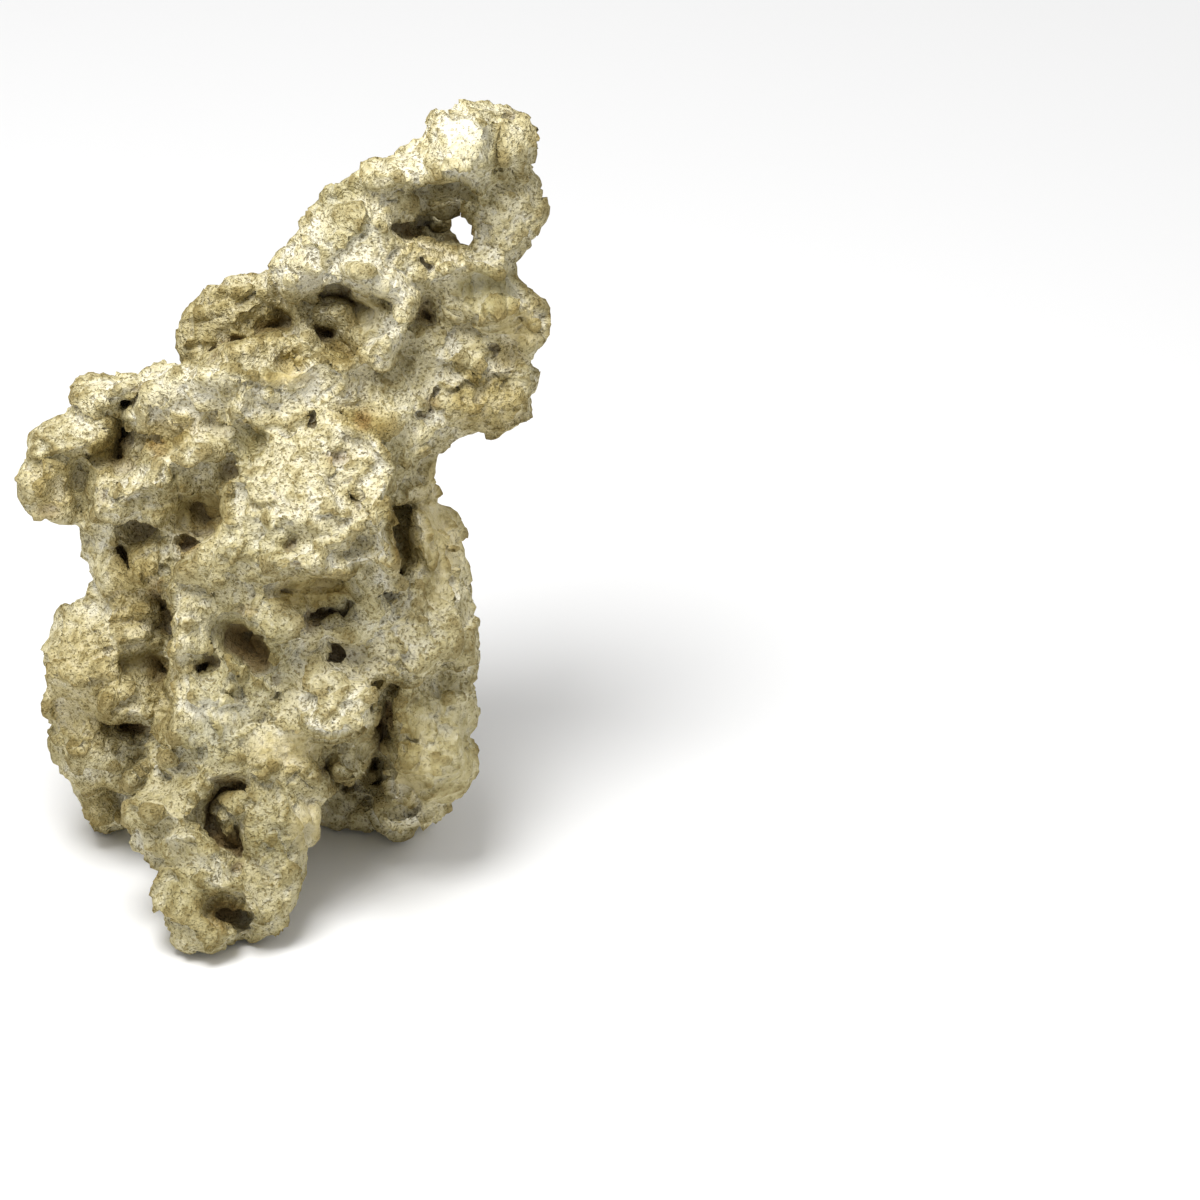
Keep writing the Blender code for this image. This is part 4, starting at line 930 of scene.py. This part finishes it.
# Each patch of colour on the front: its middle, its two half widths, its turn in degrees, its
# strength and its soft edge.
TINTS = {
    "chalk": (
        ((53, 242), (9, 13), 15, 1.0, 6), ((36, 234), (9, 4), 20, 0.5, 4),
        ((-34, 169), (6, 9), 10, 0.9, 6), ((-30, 166), (13, 9), 8, 1.0, 5),
        ((28, 201), (11, 4), -10, 1.0, 3), ((33, 189), (4, 9), -25, 1.0, 3),
        ((-19, 74), (10, 4), 0, 1.0, 4), ((-22, 27), (7, 6), -20, 0.8, 4),
        ((22, 78), (4, 2.5), 0, 0.7, 3), ((20, 146), (12, 14), 10, 0.2, 8),
        ((12, 207), (18, 9), 15, 0.9, 5), ((7, 39.5), (5, 7), -10, 0.9, 2),
        ((36, 228), (8, 5), 15, 0.7, 4), ((-3, 138), (12, 14), 0, 0.2, 8), ((-6, 166), (9, 5), 0, 0.6, 4),
        ((6, 168), (16, 7), 0, 0.9, 6), ((-42, 139), (7, 2.5), 10, 0.6, 2), ((8, 88), (12, 8), 0, 0.5, 6),
        ((-54, 162), (9, 5), 0, 0.4, 5), ((28, 100), (8, 8), 0, 0.4, 6), ((-35, 57), (8, 5), 0, 0.4, 4),
    ),
    "grey": (
        ((-12, 88), (16, 18), 0, 0.7, 10), ((18, 227), (9, 4), 15, 0.8, 4),
        ((-22, 64), (9, 7), 0, 0.9, 5), ((61, 198), (8, 6), -15, 0.7, 4), ((-4, 35), (7, 6), 0, 0.7, 5),
        ((-3, 124), (14, 6), 0, 0.6, 6), ((22, 103), (10, 8), 0, 0.5, 6), ((-10, 153), (6, 6), 0, 0.8, 4),
        ((60, 236), (5, 12), 0, 0.5, 5), ((20, 215), (12, 6), 15, 0.5, 5), ((-30, 20), (7, 6), 0, 0.5, 5),
        ((38, 73), (5, 14), 0, 0.4, 5),
    ),
    "ochre": (
        ((71, 188), (7, 6), -20, 0.7, 4), ((67, 179), (5, 6), 0, 0.7, 4), ((61, 165), (12, 9), 0, 0.8, 6),
        ((1, 172.5), (8, 2), 3, 1.0, 2), ((7, 39.5), (5, 7), -10, 0.5, 3),
        ((8, 109), (12, 4.5), 4, 0.9, 3), ((-45, 111), (7, 14), 0, 0.8, 6),
        ((-69, 140), (7, 9), 0, 0.7, 5), ((-34, 156), (9, 5), 20, 0.8, 4),
        ((24, 160), (9, 4), -12, 0.9, 4), ((18, 181), (5, 4), -10, 0.8, 3),
        ((2.5, 177.3), (4, 4), 0, 0.9, 2), ((-60, 80), (14, 18), 0, 0.5, 10),
        ((-53, 150), (5, 6), 0, 0.8, 4), ((46, 212), (10, 6), 0, 0.5, 5),
        ((-26, 132), (11, 8), -8, 0.5, 5), ((-36, 85), (5, 18), 0, 0.5, 5),
        ((38, 60), (5, 16), 0, 0.5, 5), ((46, 130), (7, 20), 0, 0.5, 6),
        ((-15, 190), (20, 12), 0, 0.4, 8), ((-55, 45), (6, 8), 0, 0.6, 4), ((0, 60), (12, 6), 0, 0.5, 5),
        ((-18, 14), (8, 6), 0, 0.6, 4), ((36, 125), (5, 10), 15, 0.8, 3),
    ),
    # The dun patches on the front are painted shade, on faces that turn from the light; on the hidden sides
    # the same darker colour falls in random patches.
    "dun_and_painted_shade": (
        ((-16, 110), (12, 12), 0, 0.8, 6), ((-34, 46), (13, 11), 20, 0.9, 6),
        ((-27, 14), (12, 9), 0, 0.8, 5), ((45, 62), (13, 17), 0, 1.0, 6),
        ((-14, 30), (26, 32), 0, 1.0, 8), ((61, 198), (9, 7), -15, 1.0, 3),
        ((-16, 191), (18, 9), 10, 0.8, 5), ((18, 226), (9, 6), 15, 0.4, 4),
        ((-8, 90), (16, 10), 0, 0.6, 6), ((-18, 64), (10, 7), 0, 0.6, 5), ((70, 184), (7, 9), 0, 0.2, 4),
        ((-56, 48), (9, 12), 0, 0.2, 5), ((-66, 64), (7, 8), 0, 0.8, 4), ((-10, 153), (6, 6), 20, 0.9, 3),
        ((28, 60), (6, 14), 0, 0.5, 3), ((-28, 132), (11, 7), -8, 1.0, 4),
        ((-43, 112), (7, 14), 0, 0.2, 5), ((-37, 80), (4, 22), 0, 0.9, 4),
        ((-66, 146), (8, 10), 0, 0.5, 5), ((16, 56), (12, 8), 0, 0.9, 4), ((-3, 35), (10, 12), 0, 0.5, 5),
        ((48, 92), (9, 8), 0, 0.5, 5), ((20, 42), (9, 10), 0, 0.3, 5), ((8, 109), (12, 5), 4, 0.4, 3),
        ((-17, 14), (6, 6), 0, 0.8, 3), ((-62, 88), (8, 8), 0, 0.3, 5),
    ),
    "rust": (
        ((24, 160), (3, 3), 0, 0.9, 2), ((16.5, 149), (3, 1.6), 0, 0.8, 2),
        ((-13.5, 27), (1.8, 1.6), 0, 0.8, 1.5), ((-37, 152), (3.5, 2.5), 0, 0.7, 2),
        ((-70, 133), (3.5, 2.5), 0, 0.6, 2), ((-28.5, 123), (3, 2), 0, 0.9, 2),
        ((36, 124), (3, 5), 0, 0.4, 3), ((-18, 13), (5, 4), 0, 0.5, 3), ((-11, 103.5), (3, 2), 0, 0.5, 2),
        ((-38, 110), (2.5, 3), 0, 0.5, 2), ((45, 165), (2, 2), 0, 0.5, 2),
    ),
    "smooth": (
        ((47, 125), (7, 20), 0, 0.8, 6), ((46, 61), (12, 16), 0, 0.8, 6), ((1, 172.5), (8, 2), 3, 1.0, 2),
        ((7, 39.5), (5, 7), -10, 1.0, 3), ((61, 198), (8.5, 6.5), -15, 0.8, 3),
        ((71, 188), (6, 5), -20, 0.8, 3), ((8, 109), (11, 4), 4, 0.8, 3), ((0, 63), (11, 5), 0, 0.8, 3),
        ((-16, 95), (8, 7), 0, 0.7, 4), ((-42, 87), (6, 4), 0, 0.7, 3), ((-25, 132), (9, 6), -8, 0.6, 4),
        ((24, 191), (4.5, 5.5), 0, 0.8, 2), ((54, 242), (6, 10), 8, 0.5, 4),
        ((-19, 72), (9, 6), 0, 0.5, 4), ((27, 62), (5, 10), 0, 0.7, 3),
    ),
}
# On the sides that the picture doesn't show, each colour shows where smooth noise is above a level:
# the noise's length, that level and the seed.
ELSEWHERE = {"chalk": (13.0, 0.25, 81), "grey": (15.0, 0.30, 82), "ochre": (14.0, 0.15, 83),
             "dun_and_painted_shade": (17.0, 0.10, 86), "rust": (6.0, 0.75, 84), "smooth": (14.0, 0.30, 85)}


def crests(mesh, rounds):
    """How far each corner stands out of its neighbours, in millimetres: above nothing on a crest,
    below it in a crease. The mean of the neighbours is taken that many times over."""
    count = len(mesh.vertices)
    ends = np.empty(len(mesh.edges) * 2, np.int32)
    mesh.edges.foreach_get("vertices", ends)
    ends = ends.reshape(-1, 2)
    ways = np.empty(count * 3, np.float32)
    mesh.vertices.foreach_get("normal", ways)
    busy = np.bincount(ends.ravel(), minlength=count).astype(np.float32)
    mean = skin.copy()
    for _ in range(rounds):
        total = np.zeros_like(mean)
        for axis in range(3):
            total[:, axis] = np.bincount(ends[:, 0], mean[ends[:, 1], axis], count)
            total[:, axis] += np.bincount(ends[:, 1], mean[ends[:, 0], axis], count)
        mean = (mean + total) / (1 + busy)[:, None]
    return np.einsum("ij,ij->i", skin - mean, ways.reshape(-1, 3))


skin = np.empty(len(rock.data.vertices) * 3, np.float32)
rock.data.vertices.foreach_get("co", skin)
skin = skin.reshape(-1, 3) / np.float32(MM)
across, up, toward = picture_place(skin)
front_share = 1 - smooth(*COLOUR_DEPTH, read_drawing(front, across, up) - toward)
# How much stone lies round each corner within two widths, more in a hollow: the material darkens the colour
# by these and browns the deepest places, as painted shade in hollows.
stone = np.clip(0.5 - field / CELL, 0, 1)
for name, width in (("near_hollow_shade", NEAR_HOLLOW), ("deep_hollow_shade", DEEP_HOLLOW)):
    corner_values(name, between(blurred(stone, width / CELL), (skin - field_low) / CELL))
# The strokes' painted shade and painted rim light, on the front only.
corner_values("painted_ledge_shade_and_rim_light", read_drawing(painted_ledge_shade_and_rim_light, across, up) * front_share)
corner_values("hole_wall_shade", between(hole_wall_shade, (skin - field_low) / CELL))
# How far each corner stands out of its neighbours, at two reaches: the material makes crests lighter and
# creases darker by it, as painted light and shade.
for name, rounds in CREST_ROUNDS.items():
    corner_values(name, crests(rock.data, rounds))
for name, tints in TINTS.items():
    drawn = np.zeros(len(skin), np.float32)
    for tint in tints:
        drawn = np.maximum(drawn, patch_height(np.column_stack([across, up]), *tint))
    length, level, seed = ELSEWHERE[name]
    strewn = smooth(level - ELSEWHERE_EDGE[0], level + ELSEWHERE_EDGE[1], noise(skin, length, seed))
    corner_values(name, drawn * front_share + strewn * (1 - front_share))


def linear(red, green, blue):
    """A screen colour, 0 to 255, as the light values that the shader takes."""
    part = np.array([red, green, blue]) / 255
    return (*np.where(part <= 0.04045, part / 12.92, ((part + 0.055) / 1.055) ** 2.4), 1.0)


CHALK = linear(238, 233, 211)
CREAM = linear(226, 217, 181)
KHAKI = linear(206, 195, 151)
DUN = linear(166, 151, 106)
PORE_OLIVE_AND_SHADE = linear(134, 115, 62)
DUN_AND_SHADE_TINT = linear(214, 211, 196)
OCHRE_TINT = linear(232, 220, 182)
GREY_TINT = linear(225, 225, 214)
RUST = linear(152, 112, 66)
DEEP_SHADE_BROWN = linear(132, 108, 70)
HOLE_SHADE_BROWN = linear(118, 97, 62)

# The grain's patterns: how long their lumps are, in millimetres, their fine detail and its strength.
BROAD = (18.0, 3.0, 0.6)
MOTTLE = (6.0, 3.0, 0.6)
CRUMBS = (2.3, 3.0, 0.6)
GRIT = (0.9, 2.0, 0.6)
DOTS = (1.0, 1.0, 0.5)
GATHERING = (8.0, 2.0, 0.6)
WANDER_LENGTH = 2.0
WANDER_REACH = 1.6
PORE_LENGTH = 1.5
PORE_STRENGTH = 0.9
SMOOTH_LOSS = 0.6
FLECK_LOSS = 0.06
CRUMB_RELIEF = 2.0
GRIT_RELIEF = 1.2
PORE_RELIEF = 0.5
BUMP_HEIGHT = 1.0 * MM
TONE_MIDDLE = 0.62
SHADE_SHARE = 0.75
OCHRE_SHARE = 0.8
GREY_SHARE = 0.8
RUST_SHARE = 0.45
PORE_SHADE_SHARE = 0.62
HOLE_SHADE = 0.80
GLOSS = 0.06

# Ranges: what is read, from and to, and what that gives, from and to (0 and 1 where nothing is said).
PORE_SIZES = (0.3, 1.0, 0.0, 0.36)
PORE_CROWD = (0.40, 0.62, 1.25, 0.45)
PORE_RIM = (-0.08, 0.12)
FLECK_CROWD = (0.30, 0.70, 0.36, 0.44)
FLECK_RIM = (-0.03, 0.08)
PIT_SHADE_PAINT = (0.35, 1.3, 0.0, 0.9)
DEEP_SHADE_TONE = (0.50, 0.80, 0.0, 0.20)
NEAR_SHADE_TONE = (0.52, 0.80, 0.0, 0.15)
KHAKI_FROM = (0.0, 0.40, 0.0, 1.0)
CREAM_FROM = (0.35, 0.70)
CHALK_FROM = (0.70, 1.10)
DEEP_SHADE_BROWN_FROM = (0.66, 0.90, 0.0, 0.6)
DULLNESS = (-0.3, 0.3, 0.86, 0.98)


class Nodes:
    """Adds nodes to a material's or a world's tree and links them, so that a recipe reads top to
    bottom."""

    def __init__(self, owner):
        owner.use_nodes = True
        self.tree = owner.node_tree

    def put(self, socket, given):
        """Links a socket to another node's output, or sets its value."""
        if hasattr(given, "is_output"):
            self.tree.links.new(given, socket)
        else:
            socket.default_value = given

    def add(self, kind, inputs=(), **settings):
        node = self.tree.nodes.new(kind)
        for name, value in settings.items():
            setattr(node, name, value)
        for socket, given in dict(inputs).items():
            self.put(node.inputs[socket], given)
        return node

    def value(self, name):
        return self.add("ShaderNodeAttribute", attribute_name=name).outputs["Fac"]

    def maths(self, kind, a, b=0.0, c=0.0):
        return self.add("ShaderNodeMath", {0: a, 1: b, 2: c}, operation=kind).outputs[0]

    def times(self, a, b):
        return self.maths("MULTIPLY", a, b)

    def minus(self, a, b):
        return self.maths("SUBTRACT", a, b)

    def larger(self, a, b):
        return self.maths("MAXIMUM", a, b)

    def moved(self, kind, a, b):
        return self.add("ShaderNodeVectorMath", {0: a, 1: b}, operation=kind).outputs[0]

    def scaled(self, a, factor):
        return self.add("ShaderNodeVectorMath", {0: a, "Scale": factor}, operation="SCALE").outputs[0]

    def ranged(self, value, low, high, to_low=0.0, to_high=1.0, kind="SMOOTHSTEP"):
        inputs = dict(enumerate((value, low, high, to_low, to_high)))
        return self.add("ShaderNodeMapRange", inputs, interpolation_type=kind).outputs[0]

    def mix(self, share, a, b, kind="MIX"):
        inputs = {0: share, 6: a, 7: b}
        return self.add("ShaderNodeMix", inputs, data_type="RGBA", blend_type=kind).outputs[2]

    def noise(self, at, length, detail, rough):
        inputs = {"Vector": at, "Scale": 1 / length, "Detail": detail, "Roughness": rough}
        return self.add("ShaderNodeTexNoise", inputs).outputs["Fac"]

    def lumps(self, at, length, detail, rough):
        """Noise about nothing, from -0.5 to 0.5."""
        return self.minus(self.noise(at, length, detail, rough), 0.5)


limestone = bpy.data.materials.new("reef_limestone")
n = Nodes(limestone)
at_mm = n.scaled(n.add("ShaderNodeTexCoord").outputs["Object"], 1 / MM)
wander = n.add("ShaderNodeTexNoise", {"Vector": at_mm, "Scale": 1 / WANDER_LENGTH, "Detail": 1.0})
wander = n.moved("SUBTRACT", wander.outputs["Color"], (0.5, 0.5, 0.5))
wander = n.scaled(wander, WANDER_REACH)
loose = n.moved("ADD", at_mm, wander)

broad = n.lumps(at_mm, *BROAD)
mottle = n.lumps(at_mm, *MOTTLE)
crumbs = n.lumps(loose, *CRUMBS)
grit = n.lumps(loose, *GRIT)
dots = n.noise(at_mm, *DOTS)
gathered = n.noise(at_mm, *GATHERING)

smoothness = n.value("smooth")
roughness = n.minus(1.0, n.times(smoothness, SMOOTH_LOSS))
deep_shade = n.value("deep_hollow_shade")
ledge_shade_and_rim_light_share = n.value("painted_ledge_shade_and_rim_light")

# Pores: a round one in some of the grain's cells, larger where they gather, and fine flecks between.
# They and the carved pits are painted dark olive, partly the pores' own colour and partly painted shade.
cell = n.add("ShaderNodeTexVoronoi", {"Vector": loose, "Scale": 1 / PORE_LENGTH, "Randomness": 1.0})
pore_size = n.add("ShaderNodeSeparateColor", {0: cell.outputs["Color"]}).outputs[0]
pore_edge = n.ranged(pore_size, *PORE_SIZES, "LINEAR")
pore_edge = n.times(pore_edge, n.ranged(gathered, *PORE_CROWD))
pore = n.ranged(n.minus(pore_edge, cell.outputs["Distance"]), *PORE_RIM)
fleck_level = n.ranged(gathered, *FLECK_CROWD, "LINEAR")
fleck_level = n.minus(fleck_level, n.times(smoothness, FLECK_LOSS))
fleck = n.ranged(n.minus(fleck_level, dots), *FLECK_RIM)
pores = n.times(n.larger(fleck, n.times(pore, PORE_STRENGTH)), roughness)
pores = n.larger(pores, n.ranged(n.value("pit"), *PIT_SHADE_PAINT))

relief = n.maths("MULTIPLY_ADD", crumbs, CRUMB_RELIEF, n.times(grit, GRIT_RELIEF))
relief = n.minus(n.times(relief, roughness), n.times(pores, PORE_RELIEF))

# The tone, from 0 for dun to 1.1 for chalk: each of these adds its share to the middle tone. The
# broad and mottled noise is the stone's own uneven tone. The crumbs and the grit are the bump's own
# heights, so their shares are painted light on its tops and painted shade in its dips; the two crest
# measures add painted light on crests and painted shade in creases; the strokes' share is painted
# shade under ledges and in creases and painted light on rims; and the two hollow measures below take
# off painted shade in hollows.
tone = TONE_MIDDLE
for part, share in (
    (broad, 1.0), (mottle, 1.2), (crumbs, 0.35), (grit, 0.3),
    (n.value("crest"), 0.40), (n.value("wide_crest"), 0.18),
    (ledge_shade_and_rim_light_share, -0.22), (n.value("chalk"), 0.32),
):
    tone = n.maths("MULTIPLY_ADD", part, share, tone)
tone = n.minus(tone, n.ranged(deep_shade, *DEEP_SHADE_TONE))
tone = n.minus(tone, n.ranged(n.value("near_hollow_shade"), *NEAR_SHADE_TONE))

colour = n.mix(n.ranged(tone, *KHAKI_FROM, "LINEAR"), DUN, KHAKI)
colour = n.mix(n.ranged(tone, *CREAM_FROM), colour, CREAM)
colour = n.mix(n.ranged(tone, *CHALK_FROM), colour, CHALK)
# The tints multiply the colour. The dun patches and the strokes' shade darken it as painted shade; the
# ochre and grey are the stone's own stains.
for share, tint in (
    (n.times(n.larger(n.value("dun_and_painted_shade"), ledge_shade_and_rim_light_share), SHADE_SHARE), DUN_AND_SHADE_TINT),
    (n.times(n.value("ochre"), OCHRE_SHARE), OCHRE_TINT),
    (n.times(n.value("grey"), GREY_SHARE), GREY_TINT),
):
    colour = n.mix(share, colour, n.mix(1.0, colour, tint, "MULTIPLY"))
# Paints laid over the colour: rust is the stone's own stain; the pores' dark olive is partly their own
# colour and partly painted shade; the brown in the deepest hollows and on the walls of the holes is painted
# shade.
for share, paint in (
    (n.times(n.value("rust"), RUST_SHARE), RUST),
    (n.times(pores, PORE_SHADE_SHARE), PORE_OLIVE_AND_SHADE),
    (n.ranged(deep_shade, *DEEP_SHADE_BROWN_FROM), DEEP_SHADE_BROWN),
    (n.times(n.value("hole_wall_shade"), HOLE_SHADE), HOLE_SHADE_BROWN),
):
    colour = n.mix(share, colour, paint)

shader = n.tree.nodes["Principled BSDF"]
bump = n.add("ShaderNodeBump", {"Height": relief, "Distance": BUMP_HEIGHT, "Strength": 1.0})
n.put(shader.inputs["Base Color"], colour)
n.put(shader.inputs["Normal"], bump.outputs[0])
n.put(shader.inputs["Roughness"], n.ranged(mottle, *DULLNESS))
shader.inputs["Specular IOR Level"].default_value = GLOSS

rock.data.materials.clear()
rock.data.materials.append(limestone)
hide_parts("reef_rock")
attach(rock, "root")


# The table: one plain pale sheet of paper, wide enough that its edge never shows. It is no part of
# the rock.
TABLE_HALF = 3000.0
PAPER_WHITE = (0.86, 0.86, 0.86, 1.0)
PAPER_DULLNESS = 0.9

table = new_object(
    "table",
    np.array([[-1, -1, 0], [1, -1, 0], [1, 1, 0], [-1, 1, 0]]) * TABLE_HALF,
    np.array([[0, 1, 2, 3]]),
)
paper = bpy.data.materials.new("pale_paper")
p = Nodes(paper)
p.tree.nodes["Principled BSDF"].inputs["Base Color"].default_value = PAPER_WHITE
p.tree.nodes["Principled BSDF"].inputs["Roughness"].default_value = PAPER_DULLNESS
table.data.materials.append(paper)


# The light: a white room, brighter overhead than at the sides, and one large soft lamp above, to
# the left and in front.
LAMP_PLACE = (-0.18, -0.32, 0.96)
LAMP_SIDE = 0.50
LAMP_WATTS = 10.0
ROOM_TOP = 0.78
ROOM_SIDES = 0.32
ROOM_RISE = (-0.1, 0.9)

world = bpy.data.worlds.new("white_room")
bpy.context.scene.world = world
w = Nodes(world)
rise = w.add("ShaderNodeSeparateXYZ", {0: w.add("ShaderNodeTexCoord").outputs["Generated"]}).outputs["Z"]
w.put(w.tree.nodes["Background"].inputs["Strength"], w.ranged(rise, *ROOM_RISE, ROOM_SIDES, ROOM_TOP))
w.tree.nodes["Background"].inputs["Color"].default_value = (1.0, 1.0, 1.0, 1.0)
lamp_data = bpy.data.lights.new("soft_lamp", "AREA")
lamp_data.shape = "DISK"
lamp_data.size = LAMP_SIDE
lamp_data.energy = LAMP_WATTS
lamp = bpy.data.objects.new("soft_lamp", lamp_data)
lamp.location = LAMP_PLACE
lamp.rotation_euler = Vector((-v for v in LAMP_PLACE)).to_track_quat("-Z", "Y").to_euler()
bpy.context.scene.collection.objects.link(lamp)
bpy.context.scene.view_settings.view_transform = "Standard"


# The camera: a long lens thirty degrees above the table, so that the picture is nearly parallel.
# Its middle is set so that the rock stands where it does in the photograph.
PICTURE_SIDE = 0.360
PICTURE_MIDDLE = (0.0942, 0.0756)
CAMERA_AWAY = 9.0
SENSOR = 36.0

camera_data = bpy.data.cameras.new("camera")
camera_data.sensor_width = SENSOR
camera_data.lens = SENSOR * CAMERA_AWAY / PICTURE_SIDE
camera_data.clip_end = 30.0
camera = bpy.data.objects.new("camera", camera_data)
middle = ACROSS * PICTURE_MIDDLE[0] + UP * PICTURE_MIDDLE[1]
turn = Matrix((ACROSS, UP, TOWARD)).transposed().to_4x4()
camera.matrix_world = Matrix.Translation(Vector(middle + TOWARD * CAMERA_AWAY)) @ turn
bpy.context.scene.collection.objects.link(camera)
bpy.context.scene.camera = camera
